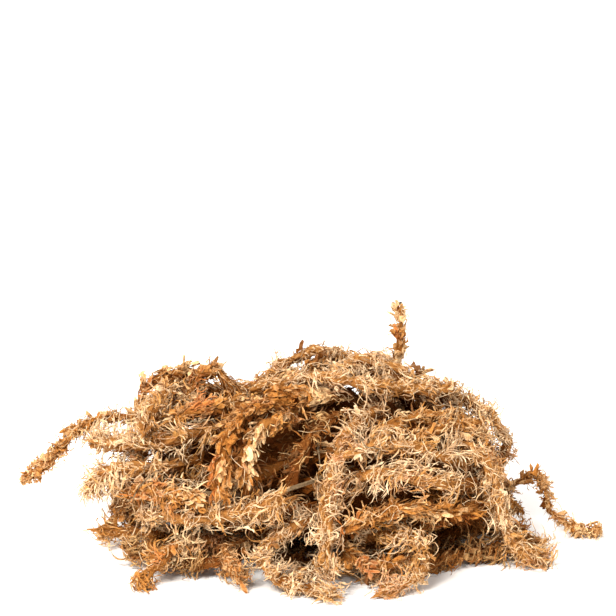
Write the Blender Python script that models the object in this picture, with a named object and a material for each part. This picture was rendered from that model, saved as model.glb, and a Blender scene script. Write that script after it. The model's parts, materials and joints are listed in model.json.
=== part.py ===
"""Sphagnum moss clump: a loose heap of dried, leafy moss strands, as it is pulled from a bale.

Every strand is one solid of its own. Its stem is a bevelled curve along a smooth route. Its branch tufts are
raised from the stem's surface, one from each face, all leaning towards the strand's head. The strands seen
from the front follow routes chosen by hand. The back and the floor layer wander by rule. All routes are then
bent clear of each other, so that strands touch tuft to tuft and never cross. The matted middle is what no
single strand can be followed through: it grows out into the room that the strands leave, tufted all over.

Frame: metres, +Z up, X across the heap, Y towards its back. The origin is on the surface that the heap lies
on, under the middle of its box.
"""

import math
import random

import bmesh
import bpy
import numpy as np
from mathutils import Vector
from mathutils.bvhtree import BVHTree

MM = 0.001
SEED = 11

# The heap, without the sprigs that stand out of it.
HEAP_HALF_WIDTH = 97 * MM
HEAP_HALF_DEPTH = 64 * MM
# The ridge as seen from the front: how high the heap is at these places across it, in mm.
RIDGE_AT = (-100, -76, -50, -28, 0, 25, 50, 75, 100)
RIDGE_HEIGHT = (46, 74, 78, 65, 81, 85, 78, 61, 41)
RIDGE_BACK = 10 * MM

# A strand: a stem with tufts of branches all round it.
STEM_RADIUS = 2.7 * MM
TUFT_REACH = 5.6 * MM
TUFT_LEAN = math.radians(45)
RING_GAP = 9.5 * MM
TWIST_A_RING = math.radians(24)
STRAND_GAP = 10.6 * MM
CLEARANCE = 0.35 * MM
TUFT_SHARES = (1.0, 0.9, 0.8, 0.7, 0.6, 0.5, 0.4, 0.3, 0.2, 0.1, 0.0)
DRAWN_IN = 0.55
DRAWING_ROUNDS = 10
SWELL = 0.13
HEAD_SWELL = 1.12
CRINKLE = 2.8 * MM
CRINKLE_LENGTH = 30 * MM

# Bending clear. A strand laid by hand gives way less and is pulled home more than one that wanders.
SWEEPS = 420
PAIRS_EVERY = 6
SETTLING_SWEEPS = 140
LAID_GIVES_WAY = 0.35
LAID_PULL_HOME = 0.05
WANDERER_PULL_HOME = 0.012
PUSH_APART = 0.6
PUSH_OUT = 25 * MM
KEEP_LENGTH = 0.25
STRAIGHTEN = 0.12
LOWEST = 0.9
LOWEST_PRESSED_FLAT = 0.6

COLOURS = {
    "straw": (0.70, 0.50, 0.26),
    "gold": (0.56, 0.34, 0.13),
    "amber": (0.45, 0.21, 0.07),
    "brown": (0.27, 0.13, 0.05),
    "stalk": (0.33, 0.25, 0.17),
}

# The strands laid by hand: name, colour, thickness as a share of a full strand, and the route's points in mm,
# from the cut end to the head.
LAID = (
    ("left_sprig", "amber", 0.72, ((-64, 14, 49), (-78, 9, 55), (-91, 5, 59), (-103, 2, 60), (-112, 0, 55),
                                   (-116, -2, 46), (-117, -3, 37), (-121, -2, 30), (-129, 0, 28))),
    ("left_flank_upper", "straw", 1.0, ((-45, -20, 58), (-59, -35, 59), (-68, -38, 60), (-79, -33, 56),
                                        (-89, -24, 50), (-100, -14, 46))),
    ("left_flank_lower", "straw", 1.0, ((-50, -30, 46), (-62, -43, 48), (-71, -42, 47), (-82, -36, 45),
                                        (-92, -28, 42), (-100, -24, 37))),
    ("left_arch", "amber", 0.75, ((-74, 14, 43), (-87, 10, 54), (-83, 12, 66), (-79, 14, 74), (-71, 15, 79),
                                  (-63, 14, 79), (-55, 10, 74))),
    ("left_pale_drop", "straw", 0.9, ((-63, 14, 65), (-66, 2, 74), (-70, -12, 76), (-74, -24, 72),
                                      (-76, -32, 65))),
    ("left_crest", "gold", 0.95, ((-60, 6, 59), (-62, 1, 70), (-56, 0, 79), (-48, 2, 83), (-40, 4, 78),
                                  (-35, 4, 71), (-28, 6, 64))),
    ("left_shoulder", "gold", 0.95, ((-68, -22, 69), (-59, -24, 73), (-47, -24, 73), (-35, -22, 72),
                                     (-24, -12, 71))),
    ("main_rope", "amber", 1.05, ((14, -6, 69), (0, -17, 75), (-15, -24, 75), (-28, -34, 73),
                                  (-37, -44, 70), (-42, -54, 63), (-45, -60, 56), (-43, -65, 47))),
    ("rope_loop", "gold", 1.0, ((-8, -22, 65), (-12, -32, 72), (-22, -42, 72), (-28, -52, 67),
                                (-33, -58, 60), (-33, -62, 51), (-28, -62, 44))),
    ("left_shelf", "gold", 1.0, ((-90, -22, 32), (-84, -36, 35), (-72, -50, 39), (-62, -58, 41),
                                 (-51, -64, 40))),
    ("lower_shelf", "straw", 1.0, ((-80, -42, 28), (-68, -56, 32), (-56, -63, 33), (-43, -68, 34),
                                   (-30, -67, 36), (-18, -64, 38))),
    ("bare_stalk", "stalk", 0.42, ((-62, -46, 37), (-40, -54, 38), (-26, -54, 37), (-11, -53, 39),
                                   (0, -52, 44), (12, -46, 50))),
    ("rust_twig", "amber", 0.6, ((-62, -30, 35), (-69, -30, 31), (-75, -29, 27), (-81, -26, 22),
                                 (-87, -24, 18), (-93, -22, 15))),
    ("left_foot", "gold", 0.9, ((-58, -34, 8), (-71, -31, 6), (-80, -29, 5), (-88, -27, 5), (-94, -20, 6))),
    ("left_front_leg", "gold", 0.9, ((-48, -52, 20), (-60, -56, 24), (-67, -59, 23), (-71, -61, 18),
                                     (-75, -64, 11), (-79, -69, 5))),
    ("centre_drop", "straw", 1.05, ((28, -18, 67), (20, -32, 69), (14, -46, 63), (10, -55, 55),
                                    (8, -62, 46), (7, -66, 35), (7, -69, 25), (5, -72, 15))),
    ("right_fan", "straw", 1.05, ((17, -61, 47), (28, -62, 53), (39, -60, 52), (48, -58, 48), (59, -54, 45),
                                  (70, -47, 42), (80, -37, 40))),
    ("hollow_rim", "amber", 0.95, ((17, -67, 29), (24, -67, 34), (32, -65, 39), (43, -62, 37),
                                   (54, -58, 33), (66, -51, 32), (76, -40, 30))),
    ("front_right_curl", "straw", 0.95, ((24, -60, 19), (36, -67, 23), (46, -66, 25), (56, -64, 21),
                                         (61, -66, 14), (55, -69, 8), (44, -73, 5))),
    ("front_hoop", "straw", 0.95, ((-2, -62, 29), (-12, -67, 27), (-21, -69, 23), (-27, -70, 16),
                                   (-24, -73, 9), (-15, -76, 5), (-4, -79, 4), (8, -79, 4))),
    ("rust_curl", "amber", 0.9, ((-30, -52, 22), (-37, -61, 22), (-43, -66, 17), (-43, -69, 10),
                                 (-35, -73, 5))),
    ("left_floor_run", "brown", 0.9, ((-40, -58, 6), (-52, -62, 5), (-63, -58, 5), (-72, -50, 5),
                                      (-78, -44, 5))),
    ("front_cup", "amber", 0.9, ((12, -58, 20), (15, -67, 15), (19, -73, 8), (28, -75, 4), (37, -72, 6),
                                 (40, -66, 12))),
    ("right_drape", "straw", 1.0, ((58, -24, 56), (72, -32, 55), (80, -38, 46), (84, -42, 36),
                                   (83, -46, 26), (86, -48, 16), (90, -50, 9), (96, -51, 5),
                                   (103, -45, 5))),
    ("floor_runner", "brown", 0.85, ((46, -52, 6), (56, -47, 5), (64, -40, 5), (74, -33, 4), (84, -32, 4),
                                     (91, -37, 4))),
    ("right_flap", "gold", 0.95, ((64, -18, 8), (78, -16, 9), (86, -12, 11), (92, -10, 13), (97, -12, 10),
                                  (101, -18, 5))),
    ("right_arch", "amber", 0.6, ((68, 8, 5), (80, 8, 6), (88, 8, 12), (94, 8, 19), (101, 8, 26),
                                  (107, 8, 29), (111, 6, 24), (112, 3, 15), (112, -2, 7), (116, -7, 3),
                                  (123, -8, 3), (131, -5, 4))),
    ("right_flank", "straw", 0.95, ((36, 12, 69), (48, 12, 71), (58, 11, 68), (69, 10, 63), (79, 8, 59),
                                    (88, 6, 53), (93, 4, 46), (92, 2, 38), (85, 0, 32))),
    ("crest_left", "straw", 0.95, ((-32, 2, 57), (-26, 6, 67), (-21, 10, 75), (-14, 13, 83), (-4, 15, 88),
                                   (7, 15, 87), (18, 13, 81))),
    ("crest_middle", "straw", 0.95, ((6, 0, 71), (13, 2, 81), (19, 1, 89), (26, 2, 93), (33, 3, 90),
                                     (39, 2, 82), (45, 0, 74))),
    ("top_sprig", "gold", 0.65, ((31, 18, 62), (37, 17, 71), (42, 15, 80), (45, 14, 89), (45, 13, 97),
                                 (44, 12, 104))),
    ("drooping_sprig", "amber", 0.5, ((42, 10, 71), (45, 5, 79), (48, 6, 86), (53, 6, 88), (58, 4, 84),
                                      (60, 2, 75))),
    ("upper_band", "straw", 1.0, ((-18, -2, 73), (-6, -8, 78), (7, -12, 79), (20, -16, 77), (34, -15, 77),
                                  (48, -11, 75), (61, -6, 69))),
    ("right_band", "gold", 0.95, ((22, -26, 71), (34, -28, 73), (45, -27, 72), (55, -23, 68), (65, -18, 62),
                                  (74, -10, 57))),
    ("pale_swag", "straw", 0.95, ((21, -51, 59), (31, -45, 65), (40, -43, 66), (47, -46, 61), (54, -47, 56),
                                  (64, -42, 51), (74, -30, 47))),
    ("right_shoulder", "gold", 0.95, ((52, -36, 63), (63, -31, 60), (73, -25, 57), (81, -19, 51),
                                      (88, -17, 44), (89, -18, 35), (84, -22, 27))),
    ("centre_brown", "brown", 0.95, ((10, -18, 65), (2, -28, 69), (-4, -37, 64), (-8, -44, 58),
                                     (-9, -49, 50))),
    ("inner_rust", "amber", 0.9, ((-44, -44, 28), (-34, -54, 29), (-22, -57, 31), (-10, -56, 33),
                                  (2, -52, 32))),
    ("under_right", "brown", 0.95, ((30, -46, 30), (40, -50, 28), (52, -48, 25), (64, -43, 24),
                                    (76, -34, 22), (82, -22, 20))),
)

# This one is a stalk that has lost its branches.
BARE = "bare_stalk"

# The strands that wander by rule. A dome depth of 1 is the heap's surface, and 0 its middle. The dome is
# fuller than a half-ball: its sides bulge by DOME_BULGE and its top is rounded by DOME_ROUND.
DOME_BULGE = 0.9
DOME_ROUND = 0.8
WANDER_STEP = 0.03
LEAST_RISE = 0.1
LIFT = 0.15
BACK_COUNT = 15
BACK_DEPTH = 0.92
BACK_LENGTH = 165 * MM
BACK_STARTS = (0.12, 0.72, 0.4)
FLOOR_COUNT = 5
FLOOR_LENGTH = 125 * MM
FLOOR_HEIGHT = 1.6 * MM
FLOOR_REARMOST = 0.75
FLOOR_SPAN = 1.35
FLOOR_STARTS = (-0.56, -0.66)
WANDER_COLOURS = ("gold", "straw", "amber", "gold", "brown", "straw")

# The matted middle, from its first small dome to the furthest that it may grow.
MIDDLE_CENTRE = np.array((0, 4, 34)) * MM
MIDDLE_START = np.array((34, 20, 17)) * MM
MIDDLE_END = 0.93
MIDDLE_STEP = 1.2 * MM
MIDDLE_RAGGED = 8 * MM
DRAWN_IN_BETWEEN = (4.5 * MM, 8 * MM)
MIDDLE_DIVISIONS = 4
STRANDS_STAY_OUT = 0.55

# The last tufts to grow reach over to a neighbour, so that no strand hangs in the air.
TOUCHING = 0.8 * MM
REACHED_GAP = 0.45 * MM
LONGEST_REACH = 9 * MM
REACHING_ROUNDS = 10


class Strand:
    """One strand on its way to becoming a solid: its route is an array of points, RING_GAP / 2 apart."""

    def __init__(self, name, colour, thickness, route, draw, sides=6, by_hand=False, lies_flat=False):
        self.name = name
        self.lies_flat = lies_flat
        self.colour = colour
        self.stem = STEM_RADIUS * thickness
        self.reach = TUFT_REACH * thickness
        self.route = crinkled(evenly(smooth_curve(route), RING_GAP / 2), draw)
        self.by_hand = by_hand
        self.sides = sides


class Solid:
    """A finished body: its mesh, and the tips of its tufts."""

    def __init__(self, name, colour, shape, tips):
        self.name = name
        self.colour = colour
        self.shape = shape
        self.tips = tips


def smooth_curve(points, steps=12):
    """Points along a Catmull-Rom curve through the given ones."""
    p = np.asarray(points, float)
    p = np.vstack([2 * p[0] - p[1], p, 2 * p[-1] - p[-2]])
    t = np.linspace(0, 1, steps, endpoint=False)[:, None]
    runs = []
    for a, b, c, d in zip(p, p[1:], p[2:], p[3:]):
        square = a - 2.5 * b + 2 * c - d / 2
        cube = 1.5 * (b - c) + (d - a) / 2
        runs.append(b + t * (c - a) / 2 + t**2 * square + t**3 * cube)
    return np.vstack([*runs, p[-2]])


def evenly(points, gap):
    """The same line with an odd number of points, as near to gap apart as its length allows."""
    along = np.concatenate([[0], np.cumsum(np.linalg.norm(np.diff(points, axis=0), axis=1))])
    count = 2 * max(2, round(along[-1] / gap / 2)) + 1
    wanted = np.linspace(0, along[-1], count)
    return np.column_stack([np.interp(wanted, along, points[:, k]) for k in range(3)])


def crinkled(points, draw):
    """The same line with the small waves that a dried strand has."""
    along = np.arange(len(points)) * RING_GAP / 2 / CRINKLE_LENGTH
    waves = [np.sin(2 * math.pi * (along / draw.uniform(0.8, 1.3) + draw.random())) for _ in range(3)]
    return points + CRINKLE * np.column_stack(waves)


def in_the_heap(unit):
    """A point of the unit half-ball, carried into the heap's own dome."""
    x = HEAP_HALF_WIDTH * math.copysign(abs(unit[0]) ** DOME_BULGE, unit[0])
    height = np.interp(x / MM, RIDGE_AT, RIDGE_HEIGHT) * MM
    y = RIDGE_BACK * unit[2] + HEAP_HALF_DEPTH * unit[1]
    return np.array([x, y, FLOOR_HEIGHT + (height - FLOOR_HEIGHT) * max(unit[2], 0.0) ** DOME_ROUND])


def depth_in_the_heap(points):
    """How far out in the heap's dome each point is: 1 on its surface, less inside."""
    across = (np.abs(points[:, 0]) / HEAP_HALF_WIDTH) ** (1 / DOME_BULGE)
    height = np.interp(points[:, 0] / MM, RIDGE_AT, RIDGE_HEIGHT) * MM
    up = (np.clip(points[:, 2] - FLOOR_HEIGHT, 0, None) / (height - FLOOR_HEIGHT)) ** (1 / DOME_ROUND)
    back = (points[:, 1] - RIDGE_BACK * up) / HEAP_HALF_DEPTH
    return np.sqrt(across**2 + back**2 + up**2)


def wander(start, heading, depth, length, draw):
    """A route that swings to and fro over a dome of its own depth, as a strand dropped on a heap does."""
    unit = np.array(start) / np.linalg.norm(start)
    ahead = np.cross(np.cross(unit, heading), unit)
    swing, pace, phase = draw.uniform(2.0, 3.4), draw.uniform(3.5, 5.5), draw.uniform(0, 2 * math.pi)
    points, done = [], 0.0
    while done < length:
        points.append(in_the_heap(unit * depth))
        if len(points) > 1:
            done += np.linalg.norm(points[-1] - points[-2])
        side = np.cross(unit, ahead)
        ahead = ahead + side * swing * math.sin(phase + pace * len(points) * WANDER_STEP) * WANDER_STEP
        if unit[2] < LEAST_RISE:
            ahead = ahead + np.array([0, 0, LIFT])
        unit = unit + ahead / np.linalg.norm(ahead) * WANDER_STEP
        unit = unit / np.linalg.norm(unit)
        ahead = ahead - unit * (ahead @ unit)
        ahead = ahead / np.linalg.norm(ahead)
    return points


def back_strands(draw):
    """The back of the heap, over its ridge and round both ends."""
    for n in range(BACK_COUNT):
        angle = math.pi * (n + 0.5) / BACK_COUNT
        height = BACK_STARTS[n % len(BACK_STARTS)]
        level = math.sqrt(1 - height**2)
        start = (math.cos(angle) * level, math.sin(angle) * level, height)
        heading = (draw.uniform(-1, 1), draw.uniform(-0.4, 0.2), draw.uniform(-0.5, 0.5))
        route = wander(start, heading, BACK_DEPTH, BACK_LENGTH * draw.uniform(0.85, 1.15), draw)
        yield Strand(f"back_{n + 1:02d}", WANDER_COLOURS[n % len(WANDER_COLOURS)], 1.0, route, draw)


def floor_strands(draw):
    """The layer that lies flat on the surface, each strand in a loose S."""
    for n in range(FLOOR_COUNT):
        y0 = HEAP_HALF_DEPTH * (FLOOR_REARMOST - FLOOR_SPAN * n / (FLOOR_COUNT - 1))
        x0 = HEAP_HALF_WIDTH * FLOOR_STARTS[n % len(FLOOR_STARTS)]
        bow, phase = draw.uniform(5, 9) * MM, draw.uniform(0, 2 * math.pi)
        share = np.linspace(0, 1, 12)
        x = x0 + FLOOR_LENGTH * share
        y = y0 + bow * np.sin(phase + 2 * math.pi * share)
        route = np.column_stack([x, y, np.full_like(x, FLOOR_HEIGHT)])
        yield Strand(f"floor_{n + 1:02d}", "brown", 0.95, route, draw, sides=4, lies_flat=True)


def close_pairs(points, owner, place):
    """The pairs of route points that are near enough to push each other: not neighbours along one strand."""
    apart = np.linalg.norm(points[:, None, :] - points[None, :, :], axis=2)
    own_run = 1.6 * STRAND_GAP / (RING_GAP / 2)
    same = (owner[:, None] == owner[None, :]) & (np.abs(place[:, None] - place[None, :]) < own_run)
    return np.nonzero(np.triu((apart < 1.7 * STRAND_GAP) & ~same, 1))


def bend_clear(strands):
    """Moves the routes apart until no two stems are nearer than their tufts need, and keeps their lengths."""
    points = np.vstack([s.route for s in strands])
    home = points.copy()
    owner = np.concatenate([np.full(len(s.route), n) for n, s in enumerate(strands)])
    place = np.concatenate([np.arange(len(s.route)) for s in strands])
    stem = np.array([s.stem for s in strands])[owner]
    by_hand = np.array([s.by_hand for s in strands])[owner]
    room = stem / STEM_RADIUS * STRAND_GAP / 2
    gives_way = np.where(by_hand, LAID_GIVES_WAY, 1.0)
    pull_home = np.where(by_hand, LAID_PULL_HOME, WANDERER_PULL_HOME)[:, None]
    lies_flat = np.array([s.lies_flat for s in strands])[owner]
    lowest = stem * np.where(lies_flat, LOWEST_PRESSED_FLAT, LOWEST)
    run = np.nonzero(owner[1:] == owner[:-1])[0]
    middle = run[1:][np.diff(run) == 1]
    rest = np.linalg.norm(points[run + 1] - points[run], axis=1)
    for sweep in range(SWEEPS):
        if sweep % PAIRS_EVERY == 0:
            one, other = close_pairs(points, owner, place)
        between = points[one] - points[other]
        apart = np.linalg.norm(between, axis=1)
        lacking = np.clip(room[one] + room[other] - apart, 0, None) / apart
        share = gives_way[one] / (gives_way[one] + gives_way[other])
        move = np.zeros_like(points)
        np.add.at(move, one, PUSH_APART * between * (lacking * share)[:, None])
        np.add.at(move, other, -PUSH_APART * between * (lacking * (1 - share))[:, None])
        points = points + np.clip(move, -RING_GAP / 4, RING_GAP / 4)
        too_deep = np.clip(STRANDS_STAY_OUT - depth_in_the_heap(points), 0, 0.1)
        too_deep[points[:, 2] < 4 * FLOOR_HEIGHT] = 0
        outwards = points - MIDDLE_CENTRE
        outwards = outwards / np.linalg.norm(outwards, axis=1)[:, None]
        points = points + PUSH_OUT * too_deep[:, None] * outwards
        for _ in range(2):
            step = points[run + 1] - points[run]
            length = np.linalg.norm(step, axis=1)
            fix = KEEP_LENGTH * step * ((length - rest) / length)[:, None]
            move = np.zeros_like(points)
            np.add.at(move, run, fix)
            np.add.at(move, run + 1, -fix)
            points = points + move
        points[middle] += STRAIGHTEN * ((points[middle - 1] + points[middle + 1]) / 2 - points[middle])
        if sweep < SWEEPS - SETTLING_SWEEPS:
            points += pull_home * (home - points)
        points[:, 2] = np.where(lies_flat, lowest, np.maximum(points[:, 2], lowest))
        # Rounded, so that the heap comes out the same on any machine.
        points = np.round(points, 6)
    for n, strand in enumerate(strands):
        strand.route = points[owner == n]


def thickness_along(share):
    """The stem's radius along a strand, as a share: thin at the cut end, full, and fuller at the head."""
    return float(np.interp(share, (0, 0.1, 0.8, 0.93, 1), (0.5, 0.95, 1.0, HEAD_SWELL, 0.45)))


def bare_stem(strand):
    """The stem as a closed body: a bevelled curve along the route, twisted a little from ring to ring."""
    rings = strand.route[::2]
    curve = bpy.data.curves.new(strand.name, "CURVE")
    curve.dimensions = "3D"
    curve.bevel_depth = strand.stem
    curve.bevel_resolution = (strand.sides - 4) // 2
    curve.use_fill_caps = True
    spline = curve.splines.new("POLY")
    spline.points.add(len(rings) - 1)
    for n, (point, ring) in enumerate(zip(spline.points, rings)):
        point.co = (*ring, 1)
        point.radius = thickness_along(n / (len(rings) - 1)) * (1 + (SWELL if n % 2 else -SWELL))
        point.tilt = math.pi / 4 if strand.lies_flat else n * TWIST_A_RING
    guide = bpy.data.objects.new(strand.name + "_guide", curve)
    bpy.context.scene.collection.objects.link(guide)
    graph = bpy.context.evaluated_depsgraph_get()
    mesh = bpy.data.meshes.new_from_object(guide.evaluated_get(graph))
    bpy.data.objects.remove(guide)
    shape = bmesh.new()
    shape.from_mesh(mesh)
    bpy.data.meshes.remove(mesh)
    bmesh.ops.remove_doubles(shape, verts=shape.verts, dist=0.00001)
    for end, inner in ((rings[0], rings[1]), (rings[-1], rings[-2])):
        join_cap(shape, Vector(end), Vector(end - inner).normalized(), strand.stem)
    for vert in shape.verts:
        vert.co.z = max(vert.co.z, 0.0)
    tips = bmesh.ops.poke(shape, faces=shape.faces)["verts"]
    return Solid(strand.name, strand.colour, shape, tips)


def join_cap(shape, end, ahead, radius):
    """A filled cap comes as several faces, and a tuft needs one."""
    shape.normal_update()
    cap = [
        face
        for face in shape.faces
        if (face.calc_center_median() - end).length < 0.7 * radius and abs(face.normal.dot(ahead)) > 0.9
    ]
    if len(cap) > 1:
        bmesh.ops.dissolve_faces(shape, faces=cap)


def the_rest(solids, without=None):
    """A search tree of all the solids but one, and which solid each of its faces belongs to."""
    points, faces, owners = [], [], []
    for n, solid in enumerate(solids):
        if n == without:
            continue
        first = len(points)
        solid.shape.verts.index_update()
        points += [v.co for v in solid.shape.verts]
        faces += [[first + v.index for v in f.verts] for f in solid.shape.faces]
        owners += [n] * len(solid.shape.faces)
    return BVHTree.FromPolygons(points, faces), owners


def leaves_room(tip, samples, tree):
    """Whether a tip and the faces round it are off the floor and clear of what the tree holds."""
    if tip.co.z < 0:
        return False
    near = any(tree.find_nearest(p)[3] < CLEARANCE for p in samples)
    return not near and not fan_of(tip).overlap(tree)


def fan_of(vert):
    """The faces round one point, as a search tree."""
    corners = [v.co for face in vert.link_faces for v in face.verts]
    faces = [(n, n + 1, n + 2) for n in range(0, len(corners), 3)]
    return BVHTree.FromPolygons(corners, faces, epsilon=CLEARANCE / 2)


def nearer_its_own_stem(strand, ring, point):
    """Whether the point is on its own side of the midway surface, where a strand comes back past itself."""
    rings = strand.route[::2]
    apart = np.linalg.norm(rings - np.array(point), axis=1)
    far_along = np.abs(np.arange(len(rings)) - ring) > 3
    return not far_along.any() or apart[~far_along].min() + CLEARANCE < apart[far_along].min()


class Tuft:
    """One tuft of branches: the point raised from a face of the stem, and where it may reach."""

    def __init__(self, vert, strand, draw):
        self.vert = vert
        self.root = vert.co.copy()
        self.base = [edge.other_vert(vert) for edge in vert.link_edges]
        rings = strand.route[::2]
        self.ring = int(np.argmin(np.linalg.norm(rings - np.array(self.root), axis=1)))
        low, high = max(self.ring - 1, 0), min(self.ring + 1, len(rings) - 1)
        ahead = Vector(rings[high] - rings[low]).normalized()
        outward = self.root - Vector(rings[self.ring])
        outward -= ahead * outward.dot(ahead)
        along = self.ring / (len(rings) - 1)
        reach = strand.reach * draw.uniform(0.7, 1.35) * (0.6 + 0.55 * along)
        lean = TUFT_LEAN + draw.uniform(-0.14, 0.14)
        if outward.length < 0.3 * strand.stem * thickness_along(along):
            # An end: the head's last tuft points straight on, and the cut end is a short stub.
            self.way = ahead * (reach if self.ring else -0.3 * reach)
        else:
            self.way = (outward.normalized() + ahead * math.tan(lean)) * reach
        self.on_the_floor = all(v.co.z == 0 for v in self.base)

    def grow(self, share):
        self.vert.co = self.root + self.way * share

    def samples(self):
        yield self.vert.co
        for v in self.base:
            yield v.co.lerp(self.vert.co, 0.4)
            yield v.co.lerp(self.vert.co, 0.75)

    def fits(self, strand, tree):
        own_side = nearer_its_own_stem(strand, self.ring, self.vert.co)
        return own_side and leaves_room(self.vert, self.samples(), tree)


def raise_tufts(solid, strand, tree, draw):
    """Raises every face of the stem into a tuft, as far as its neighbours leave room."""
    tufts = {v: Tuft(v, strand, draw) for v in solid.tips}
    for tuft in tufts.values():
        for share in TUFT_SHARES:
            tuft.grow(0 if tuft.on_the_floor else share)
            if share == 0 or tuft.on_the_floor or tuft.fits(strand, tree):
                break
    draw_in_what_crosses(solid.shape, tufts, tree)


def turn_outwards(shape):
    bmesh.ops.recalc_face_normals(shape, faces=shape.faces)
    if shape.calc_volume(signed=True) < 0:
        bmesh.ops.reverse_faces(shape, faces=shape.faces)


def crossing_tips(shape, tips, tree):
    """The tips of the faces that cross a neighbour, or another part of the same strand."""
    shape.faces.ensure_lookup_table()
    own = BVHTree.FromBMesh(shape)
    found = set()
    for one, other in own.overlap(own):
        first, second = shape.faces[one].verts, shape.faces[other].verts
        if not set(first) & set(second):
            found |= {v for v in (*first, *second) if v in tips}
    for one, _ in BVHTree.FromBMesh(shape, epsilon=CLEARANCE / 3).overlap(tree):
        found |= {v for v in shape.faces[one].verts if v in tips}
    return found


def draw_in_what_crosses(shape, tufts, tree):
    """Draws in the tufts that still cross each other, or a neighbour, until none does."""
    for _ in range(DRAWING_ROUNDS):
        crossing = crossing_tips(shape, tufts, tree)
        if not crossing:
            return
        for vert in crossing:
            vert.co = tufts[vert].root.lerp(vert.co, DRAWN_IN)


def matted_middle(tree, draw):
    """The middle of the heap: a small ball whose every point grows straight out until a strand stops it.

    Points with no raised one beside them then stay as the tips of its tufts, and those between are drawn in.
    """
    shape = bmesh.new()
    bmesh.ops.create_icosphere(shape, subdivisions=MIDDLE_DIVISIONS, radius=1)
    centre = Vector(MIDDLE_CENTRE)
    ways = {}
    for vert in shape.verts:
        vert.co = centre + vert.co * Vector(MIDDLE_START)
        ways[vert] = (vert.co - centre).normalized()
    furthest = {v: MIDDLE_END * draw.uniform(0.85, 1.0) for v in shape.verts}
    growing = list(shape.verts)
    while growing:
        still = []
        for vert in growing:
            before = vert.co.copy()
            vert.co = before + ways[vert] * MIDDLE_STEP
            inside = depth_in_the_heap(np.array([vert.co]))[0] < furthest[vert]
            if inside and leaves_room(vert, [vert.co], tree):
                still.append(vert)
            else:
                vert.co = before
        reach = {v: (v.co - centre).length for v in shape.verts}
        least = {v: min(reach[e.other_vert(v)] for e in v.link_edges) for v in still}
        growing = [v for v in still if reach[v] < least[v] + MIDDLE_RAGGED]
    raised = set()
    for vert in draw.sample(list(shape.verts), len(shape.verts)):
        if not any(edge.other_vert(vert) in raised for edge in vert.link_edges):
            raised.add(vert)
    tips = [vert for vert in shape.verts if vert in raised]
    for vert in shape.verts:
        if vert not in raised:
            vert.co -= ways[vert] * draw.uniform(*DRAWN_IN_BETWEEN)
    return Solid("matted_middle", "brown", shape, tips)


def groups_that_touch(count, touching):
    """The solids as groups, each joined by touches."""
    group = list(range(count))
    for one, other in touching:
        old, new = group[one], group[other]
        group = [new if g == old else g for g in group]
    return [[n for n in range(count) if group[n] == g] for g in sorted(set(group))]


def reach_over(solids):
    """Lengthens single tufts until every strand touches the rest, as branches catch each other."""
    for _ in range(REACHING_ROUNDS):
        touching, reaches = [], {}
        rest = [the_rest(solids, n) for n in range(len(solids))]
        for n, solid in enumerate(solids):
            tree, owners = rest[n]
            reaches[n] = []
            for tip in solid.tips:
                place, _, face, apart = tree.find_nearest(tip.co)
                reaches[n].append((apart, owners[face], tip, place))
                if apart < TOUCHING:
                    touching.append((n, owners[face]))
        groups = sorted(groups_that_touch(len(solids), touching), key=len)
        if len(groups) == 1:
            return
        reached = []
        for group in groups[:-1]:
            wanted = [(r[0], n, k) for n in group for k, r in enumerate(reaches[n]) if r[1] not in group]
            for apart, n, k in sorted(wanted)[:12]:
                _, _, tip, place = reaches[n][k]
                before = tip.co.copy()
                tip.co = place + (before - place).normalized() * REACHED_GAP
                fan = fan_of(tip)
                free = not any(fan.overlap(other) for other in reached)
                if free and apart < LONGEST_REACH and not crossing_tips(solids[n].shape, [tip], rest[n][0]):
                    reached.append(fan)
                    break
                tip.co = before


def material(colour):
    made = bpy.data.materials.new(colour + "_moss")
    made.use_nodes = True
    shader = made.node_tree.nodes["Principled BSDF"]
    shader.inputs["Base Color"].default_value = (*COLOURS[colour], 1)
    shader.inputs["Roughness"].default_value = 0.9
    shader.inputs["Metallic"].default_value = 0.0
    return made


def main():
    for old in list(bpy.data.objects):
        bpy.data.objects.remove(old)
    draw = random.Random(SEED)
    strands = []
    for name, colour, thickness, route in LAID:
        sides = 4 if name == BARE else 6
        strands.append(Strand(name, colour, thickness, np.array(route) * MM, draw, sides, by_hand=True))
    strands += [*back_strands(draw), *floor_strands(draw)]
    bend_clear(strands)

    solids = [bare_stem(strand) for strand in strands]
    for n, strand in enumerate(strands):
        if strand.name != BARE:
            raise_tufts(solids[n], strand, the_rest(solids, n)[0], draw)
        turn_outwards(solids[n].shape)
    solids.append(matted_middle(the_rest(solids)[0], draw))
    reach_over(solids)

    clump = bpy.data.collections.new("sphagnum_moss_clump")
    bpy.context.scene.collection.children.link(clump)
    materials = {colour: material(colour) for colour in COLOURS}
    corners = np.array([v.co for solid in solids for v in solid.shape.verts])
    low, high = corners.min(axis=0), corners.max(axis=0)
    for solid in solids:
        mesh = bpy.data.meshes.new(solid.name)
        solid.shape.to_mesh(mesh)
        solid.shape.free()
        mesh.materials.append(materials[solid.colour])
        obj = bpy.data.objects.new(solid.name, mesh)
        obj.location = (-(low[0] + high[0]) / 2, -(low[1] + high[1]) / 2, -low[2])
        clump.objects.link(obj)


main()
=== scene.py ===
"""Dried sphagnum moss clump: the looks, grown over its solids.

Each solid of the frame is one strand of moss: a stem with a raised point for every tuft of branches. Two
are no such strand, the matted middle of the heap and the bare stalk. Here each strand's route and tufts are
read back from its solid. Small leaves then cover the stem, and each tuft gets curled branches with leaves
of their own, branches that clothe the stem or lie across to the next strand, and bare threads. Thick
strands get wide leaf flaps with pale rims as well. Loose threads and bare twigs lie over the whole heap.
Nothing of it reaches out of the solids' own box.
"""

import json
import math

import bpy
import numpy as np
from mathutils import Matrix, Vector
from mathutils.bvhtree import BVHTree


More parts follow.
